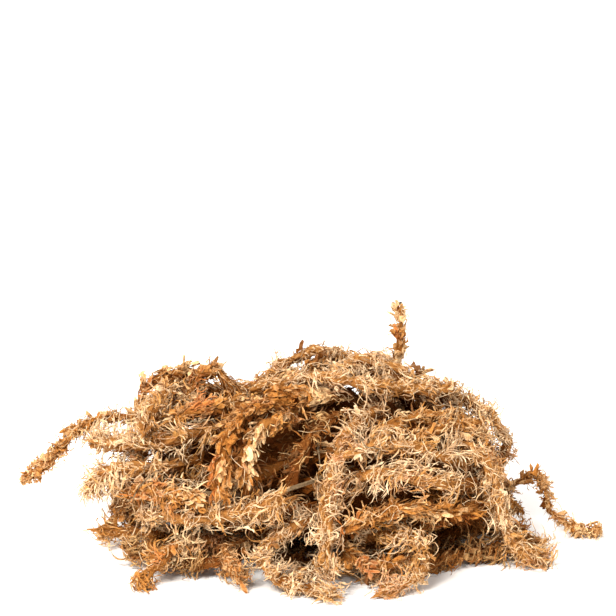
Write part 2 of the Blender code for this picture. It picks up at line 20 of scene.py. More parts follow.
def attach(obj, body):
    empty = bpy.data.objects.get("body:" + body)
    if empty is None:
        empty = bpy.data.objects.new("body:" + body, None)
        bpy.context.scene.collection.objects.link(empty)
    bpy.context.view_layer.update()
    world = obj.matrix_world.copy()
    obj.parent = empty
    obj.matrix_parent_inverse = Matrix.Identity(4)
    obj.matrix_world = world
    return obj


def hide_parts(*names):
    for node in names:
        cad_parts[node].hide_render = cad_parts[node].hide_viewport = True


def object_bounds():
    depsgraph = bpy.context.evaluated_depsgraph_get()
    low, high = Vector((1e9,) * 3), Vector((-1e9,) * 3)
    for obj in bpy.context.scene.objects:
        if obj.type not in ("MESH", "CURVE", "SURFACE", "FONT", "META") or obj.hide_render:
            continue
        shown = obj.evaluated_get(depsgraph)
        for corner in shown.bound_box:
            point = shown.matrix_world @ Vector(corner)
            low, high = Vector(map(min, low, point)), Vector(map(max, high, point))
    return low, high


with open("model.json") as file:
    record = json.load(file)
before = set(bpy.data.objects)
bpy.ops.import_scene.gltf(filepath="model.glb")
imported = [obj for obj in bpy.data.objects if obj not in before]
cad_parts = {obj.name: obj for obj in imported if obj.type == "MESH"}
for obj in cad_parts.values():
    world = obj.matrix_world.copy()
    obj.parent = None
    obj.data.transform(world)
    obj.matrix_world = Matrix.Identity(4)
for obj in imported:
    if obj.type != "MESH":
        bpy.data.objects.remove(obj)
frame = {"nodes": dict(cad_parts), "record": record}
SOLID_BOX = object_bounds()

MM = 0.001
SEED = 29
SWEEP_SEEDS = (100, 101)
STRAYS_SEED = 200

# The photograph's view, and the pixel where the heap's own origin lies on the floor.
IMAGE_SIZE = 616
ORIGIN_PIXEL = (310, 538)
MM_PER_PIXEL = 0.47
LENS = 200
SENSOR = 36
CAMERA_RISE = math.radians(18)

# The strands' kinds of growth. Branches, drapes, lying, threads and flaps say how many grow at a tuft,
# before its light and its own lushness make them more or fewer: branches stand out of it, lying ones clothe
# the stem, drapes lie across to the next strand, threads are bare, and flaps are wide leaves. Leaves is the
# count of small leaves on one branch, and scales that of the leaves on a square millimetre of stem. Length
# and radius of the branches are in mm, and turn, which they curl through, in radians. Spread is how much
# they scatter, and sweep how much they follow the heap's common sweep. Shag is the share of a branch's
# corners that stand off as leaf tips, pale is added to the tone, and slimmer is how much thinner than its
# solid the stem is.
GROWTH = {
    "wool": dict(
        branches=6.4, drapes=2.0, lying=0.35, threads=2.8, leaves=0.7, flaps=0.0, scales=0.3,
        length=(5.0, 10.0), radius=(0.16, 0.31), turn=(1.6, 5.0), spread=0.5, sweep=1.0,
        shag=0.28, pale=0.14, slimmer=0.2,
    ),
    "curls": dict(
        branches=5.8, drapes=1.8, lying=0.4, threads=1.0, leaves=1.2, flaps=0.0, scales=0.25,
        length=(5.5, 11.0), radius=(0.18, 0.36), turn=(1.4, 4.6), spread=0.4, sweep=0.9,
        shag=0.32, pale=0.02, slimmer=0.2,
    ),
    "rope": dict(
        branches=3.4, drapes=0.8, lying=0.5, threads=0.4, leaves=1.0, flaps=4.2, scales=0.3,
        length=(4.5, 8.5), radius=(0.20, 0.40), turn=(1.0, 3.6), spread=0.4, sweep=0.5,
        shag=0.36, pale=0.0, slimmer=0.2,
    ),
    "scaly": dict(
        branches=0.9, drapes=0.1, lying=0.9, threads=0.25, leaves=0.6, flaps=8.5, scales=0.12,
        length=(4.0, 7.5), radius=(0.20, 0.40), turn=(1.0, 3.0), spread=0.4, sweep=0.2,
        shag=0.4, pale=0.06, slimmer=0.2,
    ),
    "sprig": dict(
        branches=5.6, drapes=0.0, lying=0.8, threads=1.6, leaves=1.8, flaps=0.2, scales=0.5,
        length=(3.5, 6.5), radius=(0.18, 0.34), turn=(1.0, 3.6), spread=0.5, sweep=0.3,
        shag=0.4, pale=0.16, slimmer=0.35,
    ),
    "spray": dict(
        branches=1.4, drapes=0.0, lying=0.5, threads=0.9, leaves=1.3, flaps=2.4, scales=0.15,
        length=(2.5, 5.0), radius=(0.16, 0.28), turn=(0.5, 2.2), spread=0.4, sweep=0.2,
        shag=0.4, pale=0.4, slimmer=0.4,
    ),
    "comb": dict(
        branches=7.0, drapes=2.2, lying=0.4, threads=2.6, leaves=0.8, flaps=0.0, scales=0.2,
        length=(7.0, 13.0), radius=(0.16, 0.31), turn=(0.5, 2.6), spread=0.25, sweep=0.8,
        shag=0.26, pale=0.1, slimmer=0.2,
    ),
    "hidden": dict(
        branches=4.2, drapes=0.9, lying=0.35, threads=0.9, leaves=1.0, flaps=0.0, scales=0.25,
        length=(5.5, 10.5), radius=(0.20, 0.38), turn=(1.2, 4.4), spread=0.5, sweep=1.0,
        shag=0.3, pale=-0.08, slimmer=0.2,
    ),
    "lowest": dict(
        branches=6.0, drapes=1.0, lying=0.8, threads=1.6, leaves=1.0, flaps=0.0, scales=0.3,
        length=(6.0, 11.5), radius=(0.20, 0.38), turn=(1.2, 4.4), spread=0.6, sweep=1.2,
        shag=0.3, pale=0.16, slimmer=0.2,
    ),
    "middle": dict(
        branches=1.7, drapes=0.5, lying=0.2, threads=0.6, leaves=0.8, flaps=0.0, scales=0.2,
        length=(6.0, 11.0), radius=(0.24, 0.44), turn=(1.2, 4.0), spread=0.5, sweep=1.0,
        shag=0.3, pale=-0.1, slimmer=0.0,
    ),
}
KINDS = {
    "wool": (
        "crest_left crest_middle upper_band right_flank centre_drop right_drape front_hoop left_crest "
        "back_02 back_06 back_08"
    ),
    "rope": "left_shelf hollow_rim left_shoulder front_cup back_01 back_04 back_10",
    "scaly": "main_rope rope_loop",
    "sprig": "left_sprig right_arch rust_twig rust_curl",
    "spray": "top_sprig drooping_sprig left_arch",
    "comb": (
        "right_fan left_pale_drop left_flank_upper left_flank_lower lower_shelf pale_swag "
        "back_05 back_14"
    ),
    "hidden": "centre_brown under_right inner_rust",
    "lowest": "floor_01 floor_02 floor_03 floor_04 floor_05",
    "middle": "matted_middle",
    "bare": "bare_stalk",
}
KIND_OF = {node: kind for kind, nodes in KINDS.items() for node in nodes.split()}
OTHER_STRANDS = "curls"

# Strands are paler or browner in places on the camera's side, and darker with painted shade in its hollows
# and on its shaded right side: how far across and up the view in mm, the radius of the place in mm, and how
# much is added to the tone there.
TONES_AND_PAINTED_SHADE = {
    "left bundle": (-89, 38, 22, 0.18),
    "patch above the left bundle": (-78, 57, 9, 0.25),
    "curl by the rope": (-63, 39, 7, 0.18),
    "middle hump": (6, 85, 23, 0.15),
    "head right of the middle": (44, 38, 8, 0.28),
    "fan": (39, 28, 14, 0.18),
    "hanging strand": (8, 8, 8, 0.25),
    "front loop": (-13, -3, 12, 0.2),
    "low loop": (47, -10, 10, 0.15),
    "rope": (-37, 46, 16, -0.14),
    # Painted shade: the cavity, the hollow and the shaded right side are darkened where shade falls.
    "cavity": (-22, 39, 11, -0.2),
    "hollow left of the rope": (-56, 41, 10, -0.15),
    "shaded right side": (59, 8, 20, -0.26),
}
# The rusty tufts, placed in the same way.
RUSTY = {
    "left shoulder": (-86, 65, 7, 0.8),
    "above the hanging strand": (15, 49, 5, 0.8),
    "on the hanging strand": (13, 26, 5, 0.9),
    "right of the fan": (53, 26, 7, 0.8),
    "under the low loop": (37, -18, 7, 0.8),
    "in the cavity": (-13, 30, 6, 0.6),
    "shaded right side": (64, 5, 12, 0.4),
    "low curl": (-36, -6, 6, 0.4),
}
# The places fade out over the heap's ridge towards its back, and over the outer part of their own radius.
PLACES_END_AT = 25 * MM
PLACES_FADE_OVER = 30 * MM
PLACE_EDGE = 1.5


def unit(vectors):
    return vectors / np.maximum(np.linalg.norm(vectors, axis=-1, keepdims=True), 1e-12)


def dots(one, other):
    return np.sum(one * other, axis=-1, keepdims=True)


def solid_corners():
    return (np.array(corner) for corner in SOLID_BOX)


class Gathered:
    """The triangles of one piece, with what its material reads at each point."""

    VALUES = ("along", "tone", "rim", "open", "rust")

    def __init__(self):
        self.points, self.faces, self.smooth, self.count = [], [], [], 0
        self.values = {name: [] for name in self.VALUES}

    def add(self, points, faces, smooth, **values):
        """Adds n copies of one form: points is n x m x 3, faces the form's list, a value fits n x m."""
        n, m = points.shape[:2]
        firsts = self.count + m * np.arange(n)
        self.points.append(points.reshape(-1, 3))
        self.faces.append((faces[None] + firsts[:, None, None]).reshape(-1, 3))
        self.smooth.append(np.full(n * len(faces), smooth))
        for name in self.VALUES:
            value = np.broadcast_to(np.asarray(values[name], float), (n, m))
            self.values[name].append(value.reshape(-1))
        self.count += n * m

    def as_piece(self, name, material):
        """All that was gathered as one object, which rides with the heap."""
        points = np.clip(np.vstack(self.points), *solid_corners())
        faces = np.vstack(self.faces)
        mesh = bpy.data.meshes.new(name)
        mesh.vertices.add(len(points))
        mesh.vertices.foreach_set("co", points.astype(np.float32).ravel())
        mesh.loops.add(3 * len(faces))
        mesh.loops.foreach_set("vertex_index", faces.astype(np.int32).ravel())
        mesh.polygons.add(len(faces))
        mesh.polygons.foreach_set("loop_start", 3 * np.arange(len(faces), dtype=np.int32))
        mesh.polygons.foreach_set("use_smooth", np.concatenate(self.smooth))
        for value, parts in self.values.items():
            layer = mesh.attributes.new(value, "FLOAT", "POINT")
            layer.data.foreach_set("value", np.concatenate(parts).astype(np.float32))
        mesh.update(calc_edges=True)
        mesh.materials.append(material)
        piece = bpy.data.objects.new(name, mesh)
        bpy.context.scene.collection.objects.link(piece)
        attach(piece, "root")
        return piece


# How a solid is read. Corners on the same micrometre are one point, a tuft's raised point joins four
# others, the corners of an end that has no cap lie close together, and an edge longer than a step skips a
# ring.
MICROMETRE = 1e-6
MICROMETRES_IN_METRE = 1e6
TUFT_JOINS = 4
END_REACH = 3 * MM
LONGEST_STEP = 13.5 * MM


class Solid:
    """A node's solid, with its corners merged: points, triangles and each point's neighbours."""

    def __init__(self, obj):
        mesh = obj.data
        co = np.empty(3 * len(mesh.vertices), np.float32)
        mesh.vertices.foreach_get("co", co)
        keys = np.round(co.reshape(-1, 3).astype(float) * MICROMETRES_IN_METRE).astype(np.int64)
        merged, which = np.unique(keys, axis=0, return_inverse=True)
        corners = np.empty(len(mesh.loops), np.int32)
        mesh.loops.foreach_get("vertex_index", corners)
        self.points = merged * MICROMETRE
        self.faces = which.ravel()[corners].reshape(-1, 3)
        edges = np.vstack([self.faces[:, [0, 1]], self.faces[:, [1, 2]], self.faces[:, [2, 0]]])
        self.next_to = [set() for _ in merged]
        for one, other in edges:
            self.next_to[one].add(other)
            self.next_to[other].add(one)
        self.valence = np.array([len(near) for near in self.next_to])

    def levels(self, start):
        """How many edges each point is from the start, leaving out edges that skip a ring."""
        level = np.full(len(self.points), -1)
        level[start] = 0
        front = list(start)
        while front:
            ahead = []
            for one in front:
                for other in self.next_to[one]:
                    near = np.linalg.norm(self.points[one] - self.points[other]) < LONGEST_STEP
                    if level[other] < 0 and near:
                        level[other] = level[one] + 1
                        ahead.append(other)
            front = ahead
        return level


class Strand:
    """What a strand's solid says: its rings' middles from cut end to head, and each tuft's root and tip."""

    def __init__(self, solid):
        far = int(np.argmax(solid.levels([0])))
        capped = all(solid.valence[near] > TUFT_JOINS for near in solid.next_to[far])
        near_far = np.linalg.norm(solid.points - solid.points[far], axis=1) < END_REACH
        start = [far] if capped else list(np.nonzero(near_far)[0])
        level = solid.levels(start) - (1 if capped else 0)
        ends = [far, int(np.argmax(level))] if capped else []
        is_tip = solid.valence == TUFT_JOINS
        is_tip[ends] = True
        last = level[~is_tip].max()
        rings = [n for n in range(last + 1) if np.any((level == n) & ~is_tip)]
        middles = np.array([solid.points[(level == n) & ~is_tip].mean(axis=0) for n in rings])
        every = np.arange(last + 1)
        self.middles = np.column_stack([np.interp(every, rings, middles[:, k]) for k in range(3)])
        tips = np.nonzero(is_tip)[0]
        self.tips = solid.points[tips]
        self.roots = np.array([solid.points[list(solid.next_to[tip])].mean(axis=0) for tip in tips])
        self.place = np.array([np.mean([level[near] for near in solid.next_to[tip]]) for tip in tips])
        ahead = self.ahead(self.place)
        if np.sum((self.tips - self.roots) * ahead) < 0:
            self.middles = self.middles[::-1]
            self.place = last - self.place
        self.is_tip = is_tip

    def ahead(self, place):
        """The way towards the head at each place along the strand, counted in rings."""
        slope = unit(np.gradient(self.middles, axis=0))
        at = np.clip(np.round(place).astype(int), 0, len(slope) - 1)
        return slope[at]

    def middle(self, place):
        rings = np.arange(len(self.middles))
        return np.column_stack([np.interp(place, rings, self.middles[:, k]) for k in range(3)])


class Cover:
    """The matted middle has no stem to follow: a tuft grows from each corner and triangle."""

    ROOTS_ARE_IN = 2.5 * MM
    LIES_SQUARE_TO = (0.3, 0.2, 1.0)

    def __init__(self, solid):
        self.centre = solid.points.mean(axis=0)
        self.tips = np.vstack([solid.points, solid.points[solid.faces].mean(axis=1)])
        self.roots = self.tips - self.ROOTS_ARE_IN * unit(self.tips - self.centre)
        self.place = np.arange(len(self.tips))
        self.is_tip = np.zeros(len(solid.points), bool)
        self.middles = np.array([self.centre])

    def ahead(self, place):
        out = unit(self.tips - self.centre)
        return unit(np.cross(out, np.array(self.LIES_SQUARE_TO)))

    def middle(self, place):
        return np.broadcast_to(self.centre, self.tips.shape)


# Rays that look for open sky: how many, how far they look, how much they keep to the front, and how far in
# front of the point they start.
OPEN_RAYS = 24
OPEN_REACH = 60 * MM
KEPT_TO_FRONT = 1.05
STARTS_IN_FRONT = 0.4 * MM


def search_tree(solids):
    points, faces, first = [], [], 0
    for solid in solids:
        points += [Vector(p) for p in solid.points]
        faces += (solid.faces + first).tolist()
        first += len(solid.points)
    return BVHTree.FromPolygons(points, faces)


def openness(points, ways, tree, draw):
    """How much of the half-space in front of each point is free of moss, from 0 to 1."""
    free = np.zeros(len(points))
    for n, (point, way) in enumerate(zip(points, ways)):
        looks = unit(draw.normal(size=(OPEN_RAYS, 3)))
        looks = unit(looks + KEPT_TO_FRONT * way)
        start = Vector(point + STARTS_IN_FRONT * way)
        hits = [tree.ray_cast(start, Vector(look), OPEN_REACH)[0] is None for look in looks]
        free[n] = np.mean(hits)
    return free


class Sweep:
    """A smooth field of directions over the heap, so that neighbouring branches sweep the same way."""

    WAVES = 12
    LENGTH = 26 * MM
    LENGTH_VARIES = (0.7, 1.7)

    def __init__(self, draw):
        ways = unit(draw.normal(size=(self.WAVES, 3)))
        lengths = self.LENGTH * draw.uniform(*self.LENGTH_VARIES, (self.WAVES, 1))
        self.waves = ways * 2 * math.pi / lengths
        self.phase = draw.uniform(0, 2 * math.pi, self.WAVES)
        self.ways = draw.normal(size=(self.WAVES, 3)) * math.sqrt(2 / self.WAVES)

    def at(self, points):
        return np.sin(points @ self.waves.T + self.phase) @ self.ways


# The ellipsoid that the heap comes near to, in shares of its box: half its size, and how high its centre
# is.
MOUND_HALF = (0.75, 1.0, 1.7)
MOUND_CENTRE = (0, 0, 0.2)


def out_of_the_heap(points):
    """The way out of the heap at each point, as on an ellipsoid of its box."""
    low, high = solid_corners()
    half = np.array(MOUND_HALF) * (high - low) / 2
    return unit((points - np.array(MOUND_CENTRE) * (high - low)) / half**2)


class Lines:
    """The middle lines of branches: each heads one way, turns on an arc towards its bend, and crinkles."""

    PARTS = ("start", "way", "bend", "side", "length", "turn", "crinkle", "waves", "phase")
    NEARBY = 0.02
    BOX_INSET = 0.2 * MM
    TESTED_AT = (0.5, 0.75, 1.0)
    SHORTENED_TO = 0.7
    SHORTENINGS = 5

    def __init__(self, start, way, bend, length, turn, crinkle, waves, draw):
        self.start, self.way, self.length, self.turn = start, way, length, turn
        self.bend = unit(bend - way * dots(bend, way))
        self.side = np.cross(self.way, self.bend)
        self.crinkle, self.waves = crinkle, waves
        self.phase = draw.uniform(0, 2 * math.pi, (len(start), 2))

    def chosen(self, which):
        part = object.__new__(Lines)
        for name in self.PARTS:
            setattr(part, name, getattr(self, name)[which])
        return part

    def at(self, share):
        turned = (self.turn * share)[:, None]
        scale = (self.length / self.turn)[:, None]
        place = self.start + scale * (np.sin(turned) * self.way + (1 - np.cos(turned)) * self.bend)
        for k, axis in enumerate((self.side, self.bend)):
            phase = self.phase[:, k]
            wave = np.sin(phase + 2 * math.pi * self.waves * share) - np.sin(phase)
            place = place + axis * (self.crinkle * wave)[:, None]
        return place

    def frame(self, share):
        """The place at a share of each line's length, the way it heads, and two directions square to it."""
        place = self.at(share)
        ahead = unit(self.at(share + self.NEARBY) - self.at(share - self.NEARBY))
        one = unit(self.side - ahead * dots(self.side, ahead))
        return place, ahead, one, np.cross(ahead, one)

    def keep_in_box(self):
        """Shortens lines that reach out of the solids' box, but for the floor, which presses them flat."""
        low, high = solid_corners()
        low, high = low + self.BOX_INSET, high - self.BOX_INSET
        low[2] = -math.inf
        for _ in range(self.SHORTENINGS):
            outside = np.zeros(len(self.start), bool)
            for share in self.TESTED_AT:
                place = self.at(np.full(len(self.start), share))
                outside |= ((place < low) | (place > high)).any(axis=1)
            self.length = np.where(outside, self.SHORTENED_TO * self.length, self.length)


# A branch's radius along its length, how far its corners and those of its leaf tips stand off, both in
# shares of the branch's own radius, and how pale the edge is at a leaf tip, elsewhere and at the branch's
# end: a pale edge is partly the leaves' own pale margin and partly a painted highlight of light on edges.
BRANCH_TAPER = ((0, 0.3, 0.7, 1), (0.7, 1.0, 0.9, 0.45))
CORNER_OUT = (0.5, 1.1)
LEAF_TIP_OUT = (1.4, 2.4)
LEAF_TIP_AHEAD = 1.3
LEAF_TIP_RIM = 1.0
CORNER_RIM = 0.15
BRANCH_END_RIM = 0.8


def branch_faces(rings):
    """The triangles of a closed branch: three-sided rings, each turned by half a side, and a point."""
    faces = [(0, 2, 1)]
    for ring in range(rings - 1):
        for k in range(3):
            a, b = 3 * ring + k, 3 * ring + (k + 1) % 3
            faces += [(a, b, a + 3), (b, b + 3, a + 3)]
    tip = 3 * rings
    faces += [(tip - 3 + k, tip - 3 + (k + 1) % 3, tip) for k in range(3)]
    return np.array(faces)


def add_branches(gathered, lines, rings, radius, shag, from_root_shade, look, draw):
    """Branches clothed in tiny leaves: crumpled, with a share of their corners standing off as leaf tips."""
    n = len(radius)
    points = np.empty((n, 3 * rings + 1, 3))
    along = np.empty((n, 3 * rings + 1))
    rim = np.empty((n, 3 * rings + 1))
    twist = draw.uniform(0, 2 * math.pi, n)
    for ring in range(rings):
        share = np.full(n, ring / rings)
        place, ahead, one, other = lines.frame(share)
        taper = np.interp(ring / rings, *BRANCH_TAPER)
        for k in range(3):
            corner = 3 * ring + k
            angle = twist + math.pi * (2 * k + ring) / 3
            stands_off = draw.random(n) < shag
            out = np.where(stands_off, draw.uniform(*LEAF_TIP_OUT, n), draw.uniform(*CORNER_OUT, n))
            out = radius * taper * out
            ahead_by = np.where(stands_off, LEAF_TIP_AHEAD * radius, 0)
            sideways = np.cos(angle)[:, None] * one + np.sin(angle)[:, None] * other
            points[:, corner] = place + out[:, None] * sideways + ahead_by[:, None] * ahead
            along[:, corner] = from_root_shade + (1 - from_root_shade) * share
            rim[:, corner] = np.where(stands_off, LEAF_TIP_RIM, CORNER_RIM)
    points[:, -1] = lines.at(np.ones(n))
    along[:, -1] = 1.0
    rim[:, -1] = BRANCH_END_RIM
    gathered.add(points, branch_faces(rings), False, along=along, rim=rim, **look)


# A small leaf is a base edge, a keel that rises from it in shares of its width and length, and a point.
LEAF_FACES = np.array([(0, 1, 2), (0, 3, 1), (1, 3, 2), (2, 3, 0)])
# How pale each corner's edge is: partly the leaf's own margin, partly a painted highlight.
LEAF_RIMS = (0.8, 0.8, 0.0, 1.0)
KEEL_RISES = 0.45
KEEL_IS_AT = 0.25


def add_leaves(gathered, base, way, out, length, width, lean, along, look):
    """Small leaves: each a sliver with a keel, its base on a branch or stem and its point standing off it."""
    n = len(base)
    across = unit(np.cross(way, out))
    points = np.empty((n, 4, 3))
    points[:, 0] = base + across * (width / 2)[:, None]
    points[:, 1] = base - across * (width / 2)[:, None]
    points[:, 2] = base + out * (KEEL_RISES * width)[:, None] + way * (KEEL_IS_AT * length)[:, None]
    points[:, 3] = base + way * (length * np.cos(lean))[:, None] + out * (length * np.sin(lean))[:, None]
    along = np.broadcast_to(along[:, None], (n, 4))
    rim = np.tile(LEAF_RIMS, (n, 1))
    gathered.add(points, LEAF_FACES, False, along=along, rim=rim, **look)


# A wide leaf: where along it its rims are set out and how wide it is there, half its thickness, how far its
# rims rise for their cup and by chance in shares of its width, the least curl that it is worked out with,
# and how its colours run from base to tip, with painted shade at the base.
FLAP_STATIONS = (0.3, 0.62, 0.88)
FLAP_WIDTHS = (0.95, 1.0, 0.6)
FLAP_HALF_THICK = 0.1 * MM
RIM_CUPS = 0.35
RIM_WAVES = 0.18
LEAST_CURL = 0.05
FLAP_BASE_ALONG = 0.35
FLAP_ALONG = (0.45, 0.5)


def flap_faces(stations):
    """The triangles of a closed leaf: a point, at each station two rims, top and underside, and a point."""
    faces = [(0, 1, 3), (0, 3, 2), (0, 4, 1), (0, 2, 4)]
    for n in range(stations - 1):
        left, right, top, under = (4 * n + k for k in (1, 2, 3, 4))
        for a, b in ((left, top), (top, right), (right, under), (under, left)):
            faces += [(a, a + 4, b + 4), (a, b + 4, b)]
    left, right, top, under = (4 * (stations - 1) + k for k in (1, 2, 3, 4))
    tip = 4 * stations + 1
    faces += [(left, tip, top), (top, tip, right), (right, tip, under), (under, tip, left)]
    return np.array(faces)


def add_flaps(gathered, base, way, out, length, width, cup, curl, look, draw):
    """Wide leaves with pale rims, cupped across and curling along their length."""
    n = len(base)
    across = unit(np.cross(way, out))
    points = np.empty((n, 4 * len(FLAP_STATIONS) + 2, 3))
    along = np.empty(points.shape[:2])
    rim = np.zeros(points.shape[:2])
    curl = np.where(np.abs(curl) < LEAST_CURL, LEAST_CURL, curl)
    scale = (length / curl)[:, None]

    def spine(share):
        turned = (curl * share)[:, None]
        place = base + scale * (np.sin(turned) * way - (1 - np.cos(turned)) * out)
        return place, unit(np.cos(turned) * out + np.sin(turned) * way)

    points[:, 0], along[:, 0] = base, FLAP_BASE_ALONG
    points[:, -1], along[:, -1], rim[:, -1] = spine(1.0)[0], 1.0, 1.0
    for station, (share, wide) in enumerate(zip(FLAP_STATIONS, FLAP_WIDTHS)):
        place, up = spine(share)
        half = (width / 2 * wide)[:, None]
        for k, side in enumerate((1, -1)):
            lift = (width * (RIM_CUPS * cup + RIM_WAVES * draw.normal(size=n)))[:, None]
            points[:, 4 * station + 1 + k] = place + side * half * across + lift * up
            # The rims are pale: partly the leaf's own margin, partly a painted highlight.
            rim[:, 4 * station + 1 + k] = 1.0
        points[:, 4 * station + 3] = place + FLAP_HALF_THICK * up
        points[:, 4 * station + 4] = place - FLAP_HALF_THICK * up
        along[:, 4 * station + 1 : 4 * station + 5] = FLAP_ALONG[0] + FLAP_ALONG[1] * share
    gathered.add(points, flap_faces(len(FLAP_STATIONS)), False, along=along, rim=rim, **look)


def so_many(expected, draw):
    """Whole counts that come to the expected ones on average, as the list of where each one grows."""
    counts = np.floor(expected + draw.random(len(expected))).astype(int)
    return np.repeat(np.arange(len(counts)), counts)


def added_at(points, places):
    """What the named places add at each point, fading out towards their edges and over the heap's ridge."""
    across = points[:, 0] / MM
    up = (points[:, 2] * math.cos(CAMERA_RISE) + points[:, 1] * math.sin(CAMERA_RISE)) / MM
    facing = np.clip((PLACES_END_AT - points[:, 1]) / PLACES_FADE_OVER, 0, 1)
    added = np.zeros(len(points))
    for place_across, place_up, radius, amount in places.values():
        away = np.hypot(across - place_across, up - place_up) / radius
        added += amount * facing * np.clip(PLACE_EDGE - PLACE_EDGE * away**2, 0, 1)
    return added


# How tone and rust differ over the heap: by chance, with the sweeps, and how much less rust there is than
# that.
TUFTS_VARY = dict(tone=0.2, tone_sweeps=0.18, rust=1.0, rust_sweeps=0.8, less_rust=1.3)
STEM_LEAVES_VARY = dict(tone=0.25, tone_sweeps=0.14, rust=0.7, rust_sweeps=0.8, less_rust=1.1)


def shade_and_rust(points, pale, vary, sweeps, draw):
    """What is added to the tone at each point, painted shade in hollows among it, and how rusty it is there.
    """
    by_chance = vary["tone"] * draw.normal(size=len(points))
    shade = by_chance + vary["tone_sweeps"] * sweeps[0].at(points)[:, 0] + pale
    by_chance = vary["rust"] * draw.normal(size=len(points))
    rust = by_chance + vary["rust_sweeps"] * sweeps[1].at(points)[:, 1] - vary["less_rust"]
    return shade + added_at(points, TONES_AND_PAINTED_SHADE), np.clip(rust, 0, 1) + added_at(points, RUSTY)


# How tufts are read. A root nearer than this to the stem's middle is the stem's end, a shorter tuft says no
# direction, what is lower lies on the floor and stays bare, and a tuft is in the light above this openness.
END_IS_WITHIN = 0.4 * MM
SHORTEST_TUFT = 0.5 * MM
FLOOR_IS_BELOW = 0.3 * MM
LIGHT_ABOVE = 0.12
# How tufts differ: how far they reach, how lush they are in the dark and in the light and how fast that
# rises with the light, how much their lushness varies, and how much the sweeps and their own draw turn
# them.
TUFT_REACH = (2.6 * MM, 7.5 * MM)
REACH_VARIES = (0.75, 1.3)
IN_THE_DARK = 0.1
IN_THE_LIGHT = 1.25
LIGHT_COUNTS = 3
LUSHNESS_VARIES = (-0.1, 0.45)
LUSHNESS = (0.2, 2.2)
SWEEP_LIES_DOWN = 0.7
OWN_WAY = 0.5
RUST_VARIES = 0.1
# Where growth starts near a tuft's root: along the stem and round it in mm, and up the tuft in shares of
# its reach.
SCATTERED_ALONG = (-3.2, 3.2)
SCATTERED_ROUND = (-1.8, 1.8)
SCATTERED_UP = (-0.15, 0.42)


class Tufts:
    """Where a strand's growth starts: each tuft's root, its directions, its room and how open it is."""

    def __init__(self, strand, growth, tree, sweeps, draw):
        self.root = strand.roots
        self.ahead = strand.ahead(strand.place)
        way = strand.tips - strand.roots
        reach = np.linalg.norm(way, axis=1)
        outward = strand.roots - strand.middle(strand.place)
        outward = outward - self.ahead * dots(outward, self.ahead)
        self.at_end = np.linalg.norm(outward, axis=1) < END_IS_WITHIN
        self.outward = unit(np.where(self.at_end[:, None], self.ahead, outward))
        self.way = unit(np.where((reach < SHORTEST_TUFT)[:, None], self.outward + self.ahead, way))
        self.off_floor = strand.roots[:, 2] > FLOOR_IS_BELOW
        self.is_open = openness(strand.tips, self.way, tree, draw) * self.off_floor
        self.reach = np.clip(reach, *TUFT_REACH) * draw.uniform(*REACH_VARIES, len(reach))
        lit = np.clip(LIGHT_COUNTS * self.is_open, 0, 1)
        varied = np.clip(draw.lognormal(*LUSHNESS_VARIES, len(reach)), *LUSHNESS)
        self.lushness = (IN_THE_DARK + (IN_THE_LIGHT - IN_THE_DARK) * lit) * self.off_floor * varied
        if isinstance(strand, Cover):
            self.lushness = self.lushness * lit**2
        self.shade, self.rust = shade_and_rust(self.root, growth["pale"], TUFTS_VARY, sweeps, draw)
        self.out = out_of_the_heap(self.root)
        swept = [sweep.at(self.root) for sweep in sweeps]
        swept = [one - SWEEP_LIES_DOWN * self.out * dots(one, self.out) for one in swept]
        self.sweep, self.swept_bend = swept
        self.own_way, self.own_bend = OWN_WAY * draw.normal(size=(2, len(reach), 3))

    def look(self, on, tone, varied, draw):
        """What the material reads of each branch: how pale, how open to the light, which sets its painted
        shade, and how rusty it is.
        """
        tone = tone + self.shade[on] + varied * draw.normal(size=len(on))
        rust = np.clip(self.rust[on] + RUST_VARIES * draw.normal(size=len(on)), 0, 1)
        return dict(tone=np.clip(tone, 0, 1)[:, None], open=self.is_open[on][:, None], rust=rust[:, None])

    def direction(self, on, weights, strays, draw):
        """A mixture of each tuft's own directions, and a stray part that differs from branch to branch."""
        mixture = sum(weight * getattr(self, name)[on] for name, weight in weights.items())
        return mixture + strays * draw.normal(size=(len(on), 3))

    def along_stem(self, on, limits, draw):
        """Steps along the stem, within the limits in mm."""
        return self.ahead[on] * (draw.uniform(*limits, len(on)) * MM)[:, None]

    def up_tuft(self, on, limits, draw):
        """Steps up the tufts, within the limits in shares of their reach."""
        return self.way[on] * (self.reach[on] * draw.uniform(*limits, len(on)))[:, None]

    def scattered(self, on, draw):
        """A start near the root of each tuft: a little along the strand, round it and up the tuft."""
        across = np.cross(self.ahead[on], self.outward[on])
        place = self.root[on] + self.along_stem(on, SCATTERED_ALONG, draw)
        place = place + across * (draw.uniform(*SCATTERED_ROUND, len(on)) * MM)[:, None]
        return place + self.up_tuft(on, SCATTERED_UP, draw)


# The kinds of branches, the same on all strands. Heads and bends are mixtures of the tuft's own directions,
# and strays what is added to each by chance. Lengths, radii, crinkles and steps along or into the stem are
# in mm, turns in radians, and steps up a tuft in shares of its reach. Waves are counted along one branch.
# Tone is how pale it is, varied how much that differs, and from_root_shade how far from the painted shade of
# the roots its colours start. A branch on a tuft of the full reach has its full length. Light_counts is how
# fast a kind grows denser with the light, and light its least and most share.
BRANCHES = dict(
    heads=dict(way=0.6), bends=dict(swept_bend=1.0, ahead=0.3, outward=-0.6, own_bend=1.0), sags=0.2,
    crinkle=(0.1, 0.45), waves=(0.8, 2.2), from_root_shade=0.3, tone=0.5, varied=0.28,
    full_reach=5 * MM, room=(0.6, 1.15), more_at_end=2.0, rings_in_light=5, rings_in_dark=4,
)
LYING = dict(
    heads=dict(ahead=1.0, outward=0.35), head_strays=0.35, bends=dict(outward=-0.5), bend_strays=1.0,
    along_stem=(-5, 3), into_stem=(0.2, 1.2), always=0.35, if_lush=0.65,
    length=(5, 9), radius=(0.6, 1.25), turn=(0.3, 1.8), crinkle=(0.15, 0.7), waves=(0.8, 2.0),
    rings=5, shag=0.45, from_root_shade=0.4, tone=0.38, varied=0.22,
)
